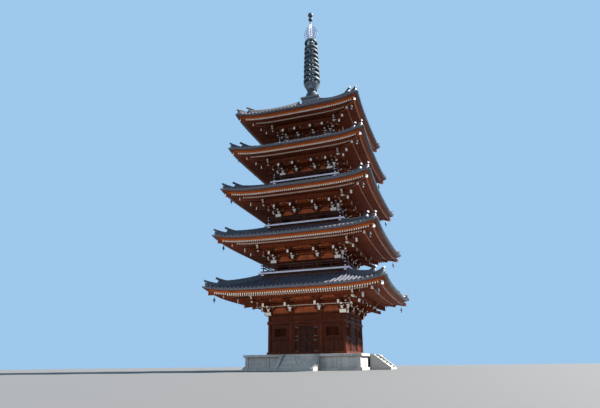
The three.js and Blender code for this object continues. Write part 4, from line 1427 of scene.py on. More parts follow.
def cross_arm(heap, place, outward, half, bottom, top, width=ARM_WIDTH):
    """An arm along the wall, with a nose at both ends."""
    sideways = np.cross(UP, outward)
    for hand in (-1, 1):
        bracket_arm(heap, place, sideways * hand, half, bottom, top, width, nose=0.13)


def small_block(heap, place, outward, bottom, top, half=SMALL_BLOCK_HALF, face=PLAIN):
    """A block on an arm. face is the finish of its outer side."""
    bearing_block(heap, place + UP * bottom, half, top - bottom, [PLAIN, PLAIN, face, PLAIN],
                  outward)


def tail_height(storey, reach):
    """The middle of the slanting tail at some reach."""
    return heights(storey, 0.55)[0] + (TAIL_END - reach) * TAIL_SLOPE


print("bracket set heights:", [round(set_scale(s) * FULL_SET_HEIGHT, 2) for s in STOREYS])

# %% One whole bracket set
def arms_outward(heap, place, outward, storey, stretch=1.0):
    """The stepped arms of a set. stretch is longer than one for the sets on the diagonals."""
    bracket_arm(heap, place, outward, 0.47 * stretch, *heights(storey, 0.09, 0.27), width=0.18)
    small_block(heap, place + outward * (0.48 * stretch - NOSE_BLOCK_HALF), outward,
                *heights(storey, 0.27, 0.43), NOSE_BLOCK_HALF, WHITE)
    bracket_arm(heap, place, outward, 0.79 * stretch, *heights(storey, 0.435, 0.585))
    bottom, least_top = heights(storey, 0.585, 0.64)
    tail_foot = tail_height(storey, SECOND_STEP) - TAIL_HEIGHT / 2
    small_block(heap, place + outward * SECOND_STEP * stretch, outward, bottom,
                max(tail_foot, least_top))


def tail(heap, place, outward, storey, end=TAIL_END, stretch=1.0, lift=0.0, width=TAIL_WIDTH,
         slope=TAIL_SLOPE, height=TAIL_HEIGHT):
    """A slanting tail with a white end, cut upright."""
    foot = tail_height(storey, TAIL_END) + lift - height / 2
    low, high = (foot + (TAIL_END - reach) * slope for reach in (end, 0.0))
    outline = [(0.0, high), (end * stretch, low), (end * stretch, low + height),
               (0.0, high + height)]
    plank(heap, outline, width, place, outward, [PLAIN, WHITE, PLAIN, PLAIN])


def purlin_seat(heap, place, storey):
    """Blocks and a short arm between the tail's back and the purlin."""
    spot = place + FRONT * PURLIN_REACH
    foot = tail_height(storey, PURLIN_REACH) + TAIL_HEIGHT / 2
    head = purlin_foot(storey)
    low, high = (foot + (head - foot) * share for share in (0.34, 0.70))
    small_block(heap, spot, FRONT, foot - 0.02, low)
    cross_arm(heap, spot, FRONT, SEAT_ARM_HALF, low, high, 0.13)
    for aside in (-0.40, 0, 0.40):
        small_block(heap, spot + RIGHT * aside, FRONT, high, head, 0.09)


def straight_set(heap, along, storey):
    place = np.array([along, -storey.body, 0])
    step = place + FRONT * FIRST_STEP
    if along < storey.body:  # the next side brings the block on the corner
        bottom = storey.block - BLOCK_HALF_HEIGHT
        bearing_block(heap, (along, -storey.body, bottom), GREAT_BLOCK_HALF,
                      BLOCK_HALF_HEIGHT + 0.16 * set_scale(storey))
    arms_outward(heap, place, FRONT, storey)
    cross_arm(heap, place, FRONT, 0.50, *heights(storey, 0.162, 0.322))
    cross_arm(heap, step, FRONT, 0.46, *heights(storey, 0.438, 0.575), 0.14)
    for aside in (-0.40, 0.40):
        small_block(heap, place + RIGHT * aside, FRONT, *heights(storey, 0.322, 0.43))
        small_block(heap, step + RIGHT * aside, FRONT, *heights(storey, 0.575, 0.65), 0.095)
    tail(heap, place, FRONT, storey)
    purlin_seat(heap, place, storey)


def corner_set(heap, storey):
    """The set on the diagonal of the front right corner, with two tails, one over the other."""
    k, corner, outward = set_scale(storey), CORNER * storey.body, unit(CORNER)
    arms_outward(heap, corner, outward, storey, ROOT_TWO * CORNER_STRETCH)
    small_block(heap, corner + outward * 0.80 * ROOT_TWO, outward,
                *heights(storey, 0.585, 0.74), NOSE_BLOCK_HALF, WHITE)
    tail(heap, corner, outward, storey, 1.72, ROOT_TWO, -0.04 * k, CORNER_TAIL_WIDTH)
    tail(heap, corner, outward, storey, 2.12, ROOT_TWO, 0.47 * k, CORNER_TAIL_WIDTH, 0.28,
         0.38 * k)
    crossing = corner + CORNER * PURLIN_REACH
    low, high, block_foot = heights(storey, 0.84, 0.97, 0.86)
    bearing_block(heap, crossing + CORNER * 0.04 + UP * block_foot, CORNER_BLOCK_HALF, 0.20 * k,
                  [PLAIN, PLAIN, WHITE, WHITE])
    for heading, turn, apart in ((FRONT, RIGHT, 0.0), (RIGHT, FRONT, 0.004)):
        bracket_arm(heap, crossing - heading * 0.5, heading, 0.78, low - apart, high - apart, 0.13)
        bottom, top = PLATE_END_Z[0] + apart, PLATE_END_Z[1] - apart
        outline = [(0.0, bottom), (0.34, bottom), (0.40, bottom + 0.05), (0.42, top), (0.0, top)]
        plank(heap, outline, PLATE_END_WIDTH, corner + turn * PLATE_END_INSET + UP * storey.block,
              heading, [PLAIN, WHITE, WHITE, PLAIN, PLAIN])


def beams_between_sets(heap, storey):
    """Beams that tie the sets together, the wall boards, the small ceiling and its ribs."""
    body, edge = storey.body, storey.body + FIRST_STEP
    outer = body + SECOND_STEP + 0.09
    side_run(heap, -body, body, body + 0.025, body - 0.035, storey.block - BLOCK_HALF_HEIGHT,
             seats(storey).wall, FRIEZE)
    for reach, line, half, low, high in (
            (body + 0.5, body, 0.07, 0.43, 0.56), (body + 0.6, body, 0.07, 0.66, 0.79),
            (edge + 0.3, edge, 0.06, 0.65, 0.77), (outer + 0.28, outer, 0.08, 0.80, 0.96)):
        side_run(heap, -reach, reach, line + half, line - half, *heights(storey, low, high),
                 PLAIN, (WHITE, WHITE), 0.01)
    ceiling, strip, rib, strip_top = heights(storey, 0.90, 0.94, 0.92, 0.97)
    side_run(heap, -outer, outer, outer, body + 0.02, ceiling, ceiling + 0.02, FRIEZE)
    top = purlin_foot(storey)
    inner_face = body + PURLIN_REACH - 0.09
    for x in np.arange(-outer + 0.1, outer, RIB_PITCH):
        strut(heap, (x, -outer - 0.02, rib), (x, -inner_face, top + 0.02), 0.05, 0.05)
        strut(heap, (x, -body - 0.03, ceiling - 0.02), (x, -outer + 0.05, ceiling - 0.02),
              0.045, 0.04)
    mitred(heap, [(outer, strip), (inner_face, top + 0.04), (inner_face, top + 0.07),
                  (outer, strip_top)], FRIEZE)


def mitred(heap, outline, finish=0):
    """A straight member along one side of a square, mitred at both corners."""
    rings = [[(hand * reach, -reach, z) for reach, z in outline] for hand in (-1, 1)]
    loft(heap, rings, finish)


def front_rod(heap, storey):
    """A thin pale rod that hangs across the front of the ground storey."""
    reach = storey.body + 0.82
    height = storey.block + 0.50
    strut(heap, (-reach, -reach, height), (reach, -reach, height), 0.030, 0.030, WHITE,
          (WHITE, WHITE), 0.008)


for storey in STOREYS:
    side = Heap()
    for along in (-storey.body, -storey.bay, storey.bay, storey.body):
        straight_set(side, along, storey)
    corner_set(side, storey)
    beams_between_sets(side, storey)
    brackets = side.around(lap=0.002)
    if storey is GROUND:
        front_rod(brackets, storey)
    make_piece(f"{storey.name}_bracket_sets", brackets,
               [BRACKET_TIMBER, CHALK_WHITE, FRIEZE_TIMBER],
               [f"{storey.name}_brackets"])

# %% [markdown]
# The eaves have two rows of rafters. The lower row lies on the wall and the purlin. Its ends
# carry a board, and the upper, flying row reaches on from there. The edge is level along most
# of the side and sweeps up toward the corners. Each line of the eaves is a row with its own
# rise and flare, so a rafter at any place can be cut to follow them.

# %% Lines of the eaves
EAVE_POWER = 4.7
EAVE_FLARE = 0.10
Row = namedtuple("Row", "r z lift flare")
SHARES = [-1, -0.965, -0.93, -0.89, -0.84, -0.78, -0.70, -0.58, -0.42, -0.2, 0]
SHARES += [-share for share in reversed(SHARES[:-1])]


def edge_row(storey, back, z, lift, flare=EAVE_FLARE):
    """A line at some distance back from the roof corner and some height from it."""
    return Row(storey.tip - back, storey.tip_z + z, lift, flare)


def on_row(row, along):
    """Distance outward and height of a line at a place along the side."""
    share = along / row.r
    return (row.r - row.flare * (1 - share ** 2), row.z + row.lift * abs(share) ** EAVE_POWER)


def rafter_line(rows, along, clear):
    """The underside of one rafter over several lines. Near the corners it starts at the hip."""
    side = abs(along)
    line = []
    for index, row in enumerate(rows):
        if row.r <= side:
            continue
        if index and rows[index - 1].r <= side:
            before = rows[index - 1]
            share = (side - before.r) / (row.r - before.r)
            low, high = before.z + before.lift, row.z + row.lift
            line.append((side, low + (high - low) * share))
        line.append(on_row(row, along))
    start = side + clear
    while len(line) > 1 and line[1][0] <= start:
        line.pop(0)
    if len(line) > 1 and line[0][0] < start:
        (x0, z0), (x1, z1) = line[:2]
        line[0] = (start, z0 + (z1 - z0) * (start - x0) / (x1 - x0))
    return line


def eave_strip(heap, outline, finish):
    """A member along the whole side whose outline is given as rows, mitred at the corners."""
    rings = []
    for share in SHARES:
        places = [on_row(row, share * row.r) for row in outline]
        rings.append([(share * row.r, -outward, z) for row, (outward, z) in zip(outline, places)])
    loft(heap, rings, finish, (finish, finish))


def strip_between(heap, storey, corners, finish):
    """An eave strip from (back, z, lift) corners, listed anticlockwise from the inner foot."""
    eave_strip(heap, [edge_row(storey, *corner) for corner in corners], finish)


print("eave lines are ready")

# %% [markdown]
# Each rafter is a squared stick with its end painted white. Boards lie on their backs and
# show from below between them. The lower of the two boards at the edge is orange timber whose
# colour is painted much brighter, as painted light from the ground below; the upper board gets
# the dark soffit finish, as the painted shadow under the tile edge. Corner rafters run out on the
# diagonals under everything, and a bell hangs from each one.

# %% Rafters, boards, purlins and corner rafters
RAFTER_PITCHES = (0.194, 0.190, 0.187, 0.183, 0.179)
BASE_RAFTER = (0.092, 0.125)
FLYING_RAFTER = (0.088, 0.138)
RAFTER_CLEAR = 0.13
RAFTER_END_CLEAR = 0.16
SHORTEST_RAFTER = 0.06
ROOF_BOARD = 0.03
ROOF_BOARD_INSET = 0.10
PURLIN_OVERRUN = 0.50
PURLIN_PLATE = 0.15
CORNER_WIDTH = 0.22
ROD_RADIUS = 0.012
BASE_END = (1.38, -0.90, 0.18, 0.06)
FLYING_INNER = (1.55, -0.765, 0.17, 0.06)
FLYING_END = (0.54, -0.885, 0.30)
RAFTER_END_BOARD = [(1.52, -0.79, 0.18, 0.06), (1.355, -0.79, 0.18, 0.06),
                    (1.345, -0.645, 0.18, 0.06), (1.52, -0.645, 0.18, 0.06)]
LOWER_EDGE_BOARD = [(0.70, -0.752, 0.29), (0.52, -0.752, 0.30), (0.40, -0.605, 0.36),
                    (0.70, -0.605, 0.35)]
UPPER_EDGE_BOARD = [(0.70, -0.603, 0.35), (0.40, -0.655, 0.36), (0.225, -0.615, 0.40),
                    (0.20, -0.585, 0.41), (0.70, -0.565, 0.38)]
EAVES, SOFFIT = 0, 1


def rafter_rows(storey):
    """The lines under the lower row and under the flying row."""
    seat = seats(storey)
    base = [Row(seat.wall_face, seat.wall, 0, 0), Row(seat.purlin_inner, seat.purlin, 0, 0),
            Row(seat.purlin_outer, seat.purlin, 0, 0), edge_row(storey, *BASE_END)]
    flying = [edge_row(storey, *FLYING_INNER), edge_row(storey, *FLYING_END)]
    return (base, BASE_RAFTER), (flying, FLYING_RAFTER)


def rafter_row(heap, rows, size, pitch):
    width, height = size
    count = int((rows[-1].r - RAFTER_END_CLEAR) / pitch)
    for index in range(-count, count + 1):
        along = (index + 0.5) * pitch
        line = rafter_line(rows, along, RAFTER_CLEAR)
        if len(line) > 1 and line[-1][0] - line[0][0] > SHORTEST_RAFTER:
            beam(heap, [(along, -outward, z + height / 2) for outward, z in line], width, height,
                 PLAIN, (PLAIN, WHITE), chamfer=0.006)


def raised(row, height):
    return row._replace(z=row.z + height)


def boards_on(heap, rows, height):
    """Boards on the backs of a row of rafters."""
    rows = rows[:-1] + [rows[-1]._replace(r=rows[-1].r - ROOF_BOARD_INSET)]
    under = [raised(row, height) for row in rows]
    eave_strip(heap, under + [raised(row, ROOF_BOARD) for row in reversed(under)], SOFFIT)


def purlin_side(heap, storey):
    line = storey.body + PURLIN_REACH
    end = line + PURLIN_OVERRUN
    foot = purlin_foot(storey)
    side_run(heap, -end + 0.12, end - 0.12, line + 0.075, line - 0.075, foot,
             foot + PURLIN_PLATE, PLAIN, (WHITE, WHITE), 0.012)
    side_run(heap, -end, end, line + 0.095, line - 0.095, foot + PURLIN_PLATE + 0.002,
             seats(storey).purlin, PLAIN, (WHITE, WHITE), 0.02)


def corner_rafter(heap, storey, near, far, bottom, top, slope):
    """A rafter on the diagonal. near and far are distances back from the roof corner."""
    corners = ((near, bottom), (far + 0.02, bottom), (far, (bottom + top) / 2), (far + 0.03, top),
               (near, top))
    outline = [((storey.tip - back) * ROOT_TWO,
                storey.tip_z + height + max(back - far, 0) * slope) for back, height in corners]
    plank(heap, outline, CORNER_WIDTH, (0, 0, 0), CORNER, [PLAIN, WHITE, WHITE, PLAIN, PLAIN])


def rod(heap, place, low, high):
    turned(heap, [(0, low), (ROD_RADIUS, low), (ROD_RADIUS, high), (0, high)], place, 6)


def wind_bell(heap, storey):
    """A bronze bell on a rod, hung under the corner rafter, with a vane below it."""
    reach = storey.tip - 0.80
    place = (reach, -reach, storey.tip_z)
    rod(heap, place, -0.98, -0.70)
    turned(heap, [(0, -1.24), (0.095, -1.26), (0.10, -1.22), (0.085, -1.15), (0.07, -1.03),
                  (0.035, -0.97), (0, -0.965)], place, 14)
    rod(heap, place, -1.36, -1.2)
    vane = place + UP * -1.38
    beam(heap, [vane - (0.05, 0.05, 0), vane + (0.05, 0.05, 0)], 0.008, 0.10)


for storey, pitch in zip(STOREYS, RAFTER_PITCHES):
    rafters, boards, timbers, bells = Heap(), Heap(), Heap(), Heap()
    for rows, size in rafter_rows(storey):
        rafter_row(rafters, rows, size, pitch)
    make_piece(f"{storey.name}_rafters", rafters.around(), [RAFTER_TIMBER, CHALK_WHITE])

    strip_between(boards, storey, RAFTER_END_BOARD, EAVES)
    strip_between(boards, storey, LOWER_EDGE_BOARD, EAVES)
    # Painted shadow: the upper edge board takes the dark soffit finish to stand in for the shade
    # under the tile edge.
    strip_between(boards, storey, UPPER_EDGE_BOARD, SOFFIT)
    for rows, size in rafter_rows(storey):
        boards_on(boards, rows, size[1])
    make_piece(f"{storey.name}_eave_boards", boards.around(), [EAVES_TIMBER, SOFFIT_TIMBER],
               [f"{storey.name}_eaves"])

    purlin_side(timbers, storey)
    corner_rafter(timbers, storey, 1.60, 0.38, -0.78, -0.48, 0.11)
    corner_rafter(timbers, storey, storey.tip - seats(storey).purlin_outer, 1.34, -0.93, -0.64,
                  0.20)
    make_piece(f"{storey.name}_purlin_timbers", timbers.around(lap=0.002),
               [RAFTER_TIMBER, CHALK_WHITE], [f"{storey.name}_purlins"])

    wind_bell(bells, storey)
    make_piece(f"{storey.name}_wind_bells", bells.around(), [BRONZE])

# %% [markdown]
# The roofs are covered with fired clay tiles in rows that run down the slope. Broad curved
# tiles lie below, and half-round cover tiles close the joints between their rows. Every tile
# is its own closed form, tucked under the next one up, so the rows show their steps and the
# light breaks on each rim. The roof surface itself sags a little between eave and top.

# %% The roof surface
TILE_EDGE_Z = -0.43
TILE_EDGE_LIFT = 0.43
CROWN_Z = 26.45
CROWN_HALF = 1.10
EAVE_SLOPE, CROWN_EAVE_SLOPE = 0.25, 0.40
Slope = namedtuple("Slope", "tip tip_z run start bend")


def roof_slope(level):
    storey = STOREYS[level]
    if storey is STOREYS[-1]:
        half, z, start = CROWN_HALF, CROWN_Z, CROWN_EAVE_SLOPE
    else:
        above = BALCONIES[level + 1]
        half, z, start = above.half - SKIRT_INSET, above.z - SKIRT_DROP, EAVE_SLOPE
    run = storey.tip - half
    rise = z - storey.tip_z - TILE_EDGE_Z
    print(storey.name, "roof rises", round(rise, 2), "m")
    return Slope(storey.tip, storey.tip_z, run, start, (rise - start * run) / run ** 2)


def roof_height(slope, x):
    """Height of the surface at a run of x up from the eave, in the middle of a side."""
    return slope.tip_z + TILE_EDGE_Z + slope.start * x + slope.bend * x * x


def roof_point(slope, along, x, lift):
    """A point of the tile surface on the front side."""
    share = x / slope.run
    r = slope.tip - x
    place = along / r
    outward = r - EAVE_FLARE * (1 - place ** 2) * (1 - share)
    curl = TILE_EDGE_LIFT * (1 - share) ** 2 * abs(place) ** EAVE_POWER
    return np.array([along, -outward, roof_height(slope, x) + curl + lift])


def hip_point(slope, x, lift=0.0):
    """A point over the hip line of the front right corner."""
    curl = TILE_EDGE_LIFT * (1 - x / slope.run) ** 2
    return CORNER * (slope.tip - x) + UP * (roof_height(slope, x) + curl + lift)


SLOPES = [roof_slope(level) for level in range(5)]

# %% Tiles of one side
TILE_PITCH = 0.36
TILE_STEP = 0.345
SHORTEST_TILE = 0.05
RIDGE_CLEAR = 0.20
CORNER_CLEAR = 0.26
COVER_RADIUS = 0.092
COVER_ARC = [(math.cos(math.pi * step / 5), math.sin(math.pi * step / 5)) for step in range(6)]
COVER = [(COVER_RADIUS * x, COVER_RADIUS * y - 0.006) for x, y in COVER_ARC]
TROUGH = [(-0.165, 0.012), (-0.08, -0.030), (0.0, -0.043), (0.08, -0.030), (0.165, 0.012),
          (0.165, 0.034), (0.0, -0.018), (-0.165, 0.034)]
DISC = ((-0.05, 0.094), (0.02, 0.094), (0.02, 0.070), (0.008, 0.064))
DRIP = [(-0.165, -0.01), (-0.115, -0.075), (0.0, -0.125), (0.115, -0.075), (0.165, -0.01),
        (0.0, -0.03)]
TILE, EDGE_TILE = 0, 1


def tile_course(heap, slope, along, section, tuck, lift, taper=1.0, tilt=0.0):
    """One row of tiles, from the eave up to the ridge or to the storey above."""
    limit = min(slope.run, slope.tip - abs(along) - RIDGE_CLEAR)
    x = 0.0
    while x < limit - SHORTEST_TILE:
        upper = min(x + TILE_STEP, limit)
        low = roof_point(slope, along, x, lift + tilt)
        high = roof_point(slope, along, min(upper + tuck, slope.run), lift)
        axis = unit(high - low)
        across = unit(np.cross(axis, UP))
        top = np.cross(across, axis)
        sweep(heap, section, [(low, across, top), (high, across * taper, top * taper)])
        x = upper


def tiled_side(slope):
    """Cover tiles with a round disc at the eave, and broad tiles with a drip plate."""
    heap = Heap()
    count = int((slope.tip - CORNER_CLEAR) / TILE_PITCH)
    for index in range(-count, count + 1):
        along = index * TILE_PITCH
        tile_course(heap, slope, along, COVER, 0.03, 0.012, taper=0.84)
        pressed(heap, polygon(1.0, 12), roof_point(slope, along, 0.0, 0.012), FRONT, DISC,
                EDGE_TILE)
    for index in range(-count, count):
        along = (index + 0.5) * TILE_PITCH
        tile_course(heap, slope, along, TROUGH, 0.10, -0.004, tilt=0.014)
        pressed(heap, DRIP, roof_point(slope, along, 0.0, -0.012), FRONT,
                ((-0.02, 1), (0.008, 1)), EDGE_TILE)
    return heap


print("tile shapes are ready")

# %% [markdown]
# Under the tiles lies a closed bed of boards and clay, so that nothing shows through between
# them. At the hips, ridges are built up from flat courses with a row of cover tiles on top.
# Each hip has two ridges, a low one that starts at the corner and a taller one farther up.
# Both end in a plate with a grey-white horn that sweeps up over it.

# %% Roof bed and hip ridges
BED_DROP = 0.055
BED_THICK = 0.09
BED_EDGE = [(0.60, -0.568, 0.38), (0.20, -0.583, 0.41), (0.06, -0.56, 0.43), (0.05, -0.52, 0.43),
            (0.60, -0.46, 0.38)]
SECOND_HORN = 1.05
RIDGE_STEP = 0.30
RIDGE_FOOT = 0.06
COURSE_THICK = 0.052
RIDGE_TAPER = 0.82
RIDGE_ARC = [(0.105 * x, 0.105 * y) for x, y in COVER_ARC]
PLATE_OUTLINE = [(-0.50, -0.12), (-0.30, -0.20), (0.30, -0.20), (0.50, -0.12), (0.56, 0.18),
                 (0.36, 0.34), (0.40, 0.62), (0.20, 0.86), (0.0, 1.0), (-0.20, 0.86),
                 (-0.40, 0.62), (-0.36, 0.34), (-0.56, 0.18)]
HORN_STEPS = 7
DIAGONAL = unit(CORNER)


def roof_bed(heap, slope, storey):
    rows = []
    for share in np.linspace(0.0, 1.0, 9):
        x = share * slope.run
        rows.append(Row(slope.tip - x - 0.02 * (share == 0), roof_height(slope, x) - BED_DROP,
                        TILE_EDGE_LIFT * (1 - share) ** 2, EAVE_FLARE * (1 - share)))
    eave_strip(heap, [raised(row, -BED_THICK) for row in reversed(rows)] + rows, EDGE_TILE)
    strip_between(heap, storey, BED_EDGE, EDGE_TILE)


def ridge(heap, slope, x0, x1, width, courses):
    """Flat courses with a row of cover tiles on top. Returns its height over the hip."""
    steps = max(int((x1 - x0) / RIDGE_STEP), 2)
    points = [hip_point(slope, x) for x in np.linspace(x0, x1, steps + 1)]
    across = unit(np.cross(points[-1] - points[0], UP))
    flats = [(width * 1.25 / 2, -0.14, RIDGE_FOOT)]
    for course in range(courses):
        low = RIDGE_FOOT + course * COURSE_THICK
        flats.append((width * (0.86 if course % 2 else 1.0) / 2, low, low + COURSE_THICK))
    for half, low, high in flats:
        section = [(-half, low), (half, low), (half, high), (-half, high)]
        sweep(heap, section, [(point, across, UP) for point in points])
    top = RIDGE_FOOT + courses * COURSE_THICK
    for low, high in zip(points, points[1:]):
        beyond = high + (high - low) * 0.08
        seat = UP * (top - 0.004)
        sweep(heap, RIDGE_ARC, [(low + seat, across, UP),
                                (beyond + seat, across * RIDGE_TAPER, UP * RIDGE_TAPER)])
    return top


def end_plate(heap, place, height, width):
    """The plate that closes a ridge, with shoulders, a pointed crown and three knobs."""
    shape = [(x * width, y * height) for x, y in PLATE_OUTLINE]
    pressed(heap, shape, place, DIAGONAL, ((-0.07, 1.0), (0.02, 1.0), (0.055, 0.80)))
    for hand, radius, rise in ((-1, 0.045, 0.28), (0, 0.06, 0.50), (1, 0.045, 0.28)):
        spot = place + np.cross(UP, DIAGONAL) * hand * width * 0.28 + UP * height * rise
        pressed(heap, polygon(radius), spot, DIAGONAL, ((0.05, 1), (0.08, 0.95), (0.10, 0.5)))


def horn(heap, root, tip, radius):
    """The round horn over a ridge end, which sweeps up toward its tip."""
    path = []
    for share in np.linspace(0.0, 1.0, HORN_STEPS + 1):
        point = root + (tip - root) * share
        point[2] = root[2] + (tip[2] - root[2]) * share ** 1.7
        path.append(point)
    stations = []
    for index, point in enumerate(path):
        axis = unit(path[min(index + 1, HORN_STEPS)] - path[max(index - 1, 0)])
        across = unit(np.cross(axis, UP))
        size = radius * (0.85 + 0.35 * (index / HORN_STEPS))
        stations.append((point, across * size, np.cross(across, axis) * size))
    sweep(heap, polygon(1.0, 10), stations, TILE, (0, 1))


def hip_ridges(slope):
    """Both ridges of the front right hip, with their end plates and horns."""
    heap = Heap()
    top = ridge(heap, slope, 0.30, SECOND_HORN + 0.2, 0.22, 2)
    end_plate(heap, hip_point(slope, 0.27, -0.02), 0.42, 0.46)
    horn(heap, hip_point(slope, 0.75, top + 0.06),
         CORNER * (slope.tip - 0.12) + UP * (slope.tip_z + 0.42), 0.075)
    top = ridge(heap, slope, SECOND_HORN, slope.run - 0.02, 0.26, 5)
    end_plate(heap, hip_point(slope, SECOND_HORN - 0.03, 0.02), 0.52, 0.54)
    over = hip_point(slope, SECOND_HORN)[2] + top + 0.30
    horn(heap, hip_point(slope, SECOND_HORN + 0.50, top + 0.02),
         CORNER * (slope.tip - SECOND_HORN + 0.22) + UP * over, 0.085)
    return heap


for storey, slope in zip(STOREYS, SLOPES):
    tiles = tiled_side(slope)
    roof_bed(tiles, slope, storey)
    make_piece(f"{storey.name}_tiles", tiles.around(), [ROOF_TILE, RIDGE_TILE],
               [f"{storey.name}_roof"])
    make_piece(f"{storey.name}_ridges", hip_ridges(slope).around(), [RIDGE_TILE, HORN_SHADED_GREY])

# %% [markdown]
# The spire is cast bronze on a mast that runs down through all the storeys. From below it has
# a square dew basin on a tiled foot, an upturned bowl, a ring of lotus petals, nine rings with
# spokes and small bells, an openwork flame with four blades, and a wheel and a jewel. Founders
# cast it in such separate parts and stacked them on the mast.

# %% Dew basin
BASIN_FOOT = (1.18, 26.57)
BASIN_BOX = (0.90, 27.18)
BASIN_SLAB = (1.01, 27.40)
BASIN_RAIL = 0.09
BASIN_CORNICE = 0.06
BASIN_STILES = 4


def basin_side(heap):
    """One side of the basin: a sloped foot course, a framed box with panels, and a slab."""
    (foot_half, foot), (half, top), (slab_half, slab) = BASIN_FOOT, BASIN_BOX, BASIN_SLAB
    rail, cornice, inner = foot + BASIN_RAIL, top - BASIN_CORNICE, half - 0.06
    for outline in ([(half, CROWN_Z + GAP), (foot_half, CROWN_Z + GAP),
                     (foot_half - 0.02, CROWN_Z + 0.06), (half + 0.05, foot), (half, foot)],
                    [(inner, foot), (half + 0.03, foot), (half + 0.03, rail), (inner, rail)],
                    [(inner, rail), (half - 0.02, rail), (half - 0.02, cornice),
                     (inner, cornice)]):
        mitred(heap, outline)
    for place in np.linspace(-half + 0.05, half - 0.25, BASIN_STILES):
        upright(heap, place, -half + 0.01, rail, cornice, 0.08, chamfer=0.01)
    mitred(heap, [(inner, cornice), (half + 0.01, cornice), (slab_half - 0.03, top), (inner, top)])
    mitred(heap, [(half - 0.1, top), (slab_half - 0.02, top), (slab_half, top + 0.03),
                  (slab_half, slab - 0.05), (slab_half - 0.02, slab - 0.01),
                  (half - 0.1, slab - 0.01)])


side = Heap()
basin_side(side)
basin = side.around()
hewn(basin, (-0.9, -0.9, CROWN_Z + 0.02), (0.9, 0.9, BASIN_SLAB[1] - 0.004), 0.01)
make_piece("dew_basin_box", basin, [RIDGE_TILE], ["dew_basin"])

# %% Bowl and lotus petals
BOWL_RADIUS = 0.78
BOWL_FOOT = BASIN_SLAB[1] + GAP
BOWL_TOP = 28.48
BOWL_RISE = BOWL_TOP - BOWL_FOOT
BOWL_NECK = 0.42
BOWL_BANDS = (0.32, 0.62)
LOTUS_TOP = 29.48
PETALS = 16
PETAL_THICK = 0.022
PETAL_SECTION = [(-1, -1), (0, -0.2), (1, -1), (0, 1.6)]


def bowl_outline():
    outline = [(0, BOWL_FOOT), (BOWL_RADIUS, BOWL_FOOT), (BOWL_RADIUS, BOWL_FOOT + 0.05)]
    for step in range(1, 9):
        angle = math.radians(6 + step * 9.5)
        outline.append((max(BOWL_RADIUS * math.cos(angle), BOWL_NECK),
                        BOWL_FOOT + 0.05 + (BOWL_RISE - 0.12) * math.sin(angle)))
    return outline + [(0.46, BOWL_TOP - 0.05), (0.48, BOWL_TOP), (0, BOWL_TOP)]


def closed_ring(heap, outline, segments):
    turned(heap, outline + outline[:1], segments=segments)


def petal(heap, angle, root, tip, low, high, width, curl):
    """An upright curved petal with a pointed tip."""
    outward = compass_point(angle)
    stations = []
    for share in np.linspace(0, 1, 7):
        half = width / 2 * (0.65 + 0.7 * share - 1.20 * share ** 3.2)
        centre = (outward * (root + (tip - root) * share + curl * share ** 3)
                  + UP * (low + (high - low) * share))
        stations.append((centre, np.cross(UP, outward) * half, outward * PETAL_THICK))
    sweep(heap, PETAL_SECTION, stations)


bowl = Heap()
turned(bowl, bowl_outline(), segments=40)
for share in BOWL_BANDS:
    z = BOWL_FOOT + BOWL_RISE * share
    reach = BOWL_RADIUS * math.cos(math.asin(share - 0.05 / BOWL_RISE))
    closed_ring(bowl, [(reach - 0.03, z - 0.03), (reach + 0.012, z - 0.02),
                       (reach + 0.008, z + 0.02), (reach - 0.05, z + 0.03)], 40)
turned(bowl, [(0, BOWL_TOP), (0.40, BOWL_TOP), (0.54, BOWL_TOP + 0.08), (0.50, BOWL_TOP + 0.14),
              (0.34, BOWL_TOP + 0.20), (0.30, LOTUS_TOP - 0.2), (0.62, LOTUS_TOP - 0.10),
              (0.64, LOTUS_TOP - 0.03), (0, LOTUS_TOP - 0.02)], segments=32)
for index in range(PETALS):
    angle = index * math.tau / PETALS
    petal(bowl, angle, 0.46, 0.86, BOWL_TOP + 0.06, LOTUS_TOP - 0.06, 0.36, 0.05)
    petal(bowl, angle + math.pi / PETALS, 0.42, 0.74, BOWL_TOP + 0.10, LOTUS_TOP, 0.34, 0.06)
make_piece("bowl_and_lotus", bowl, [BRONZE], ["inverted_bowl"])

# %% Nine rings
MAST_RADIUS = 0.15
RING_HEIGHTS = [29.80, 30.47, 31.14, 31.72, 32.30, 32.89, 33.54, 34.08, 34.89]
RING_RADII = (0.925, 0.745)
RING_TALL = 0.165
RING_PLATE = 0.30
RIM_WIDTH = 0.11
SPOKES = 8
FLAME = (35.22, 37.46)


def spoked_ring(heap, radius, z):
    """A ring with a raised rim, a hub, spokes and a small bell under each spoke."""
    rim, plate, tall, mast = radius - RIM_WIDTH, radius - RING_PLATE, RING_TALL, MAST_RADIUS
    closed_ring(heap, [
        (plate, z - 0.03), (plate + 0.02, z - 0.045), (rim, z - 0.05),
        (rim + 0.02, z - tall + 0.02), (rim + 0.04, z - tall), (radius - 0.05, z - tall),
        (radius - 0.01, z - tall * 0.62), (radius, z - tall * 0.15),
        (radius - 0.012, z + tall * 0.35), (radius - 0.045, z + tall * 0.78),
        (radius - 0.075, z + tall), (rim + 0.01, z + tall), (rim - 0.01, z + tall - 0.03),
        (rim, z + 0.05), (plate + 0.02, z + 0.045), (plate, z + 0.03)], 40)
    closed_ring(heap, [(mast + 0.001, z - 0.09), (mast + 0.05, z - 0.07), (mast + 0.06, z),
                       (mast + 0.05, z + 0.07), (mast + 0.001, z + 0.09)], 16)
    foot = z - 0.04
    bell = [(0, foot - 0.20), (0.032, foot - 0.205), (0.033, foot - 0.18), (0.020, foot - 0.11),
            (0.008, foot - 0.08), (0.008, foot + 0.01), (0, foot + 0.01)]
    for spoke in range(SPOKES):
        outward = compass_point((spoke + 0.5) * math.tau / SPOKES)
        strut(heap, outward * (mast + 0.04) + UP * z, outward * (plate + 0.02) + UP * z, 0.075,
              0.05)
        turned(heap, bell, outward * (rim - 0.03), 8)


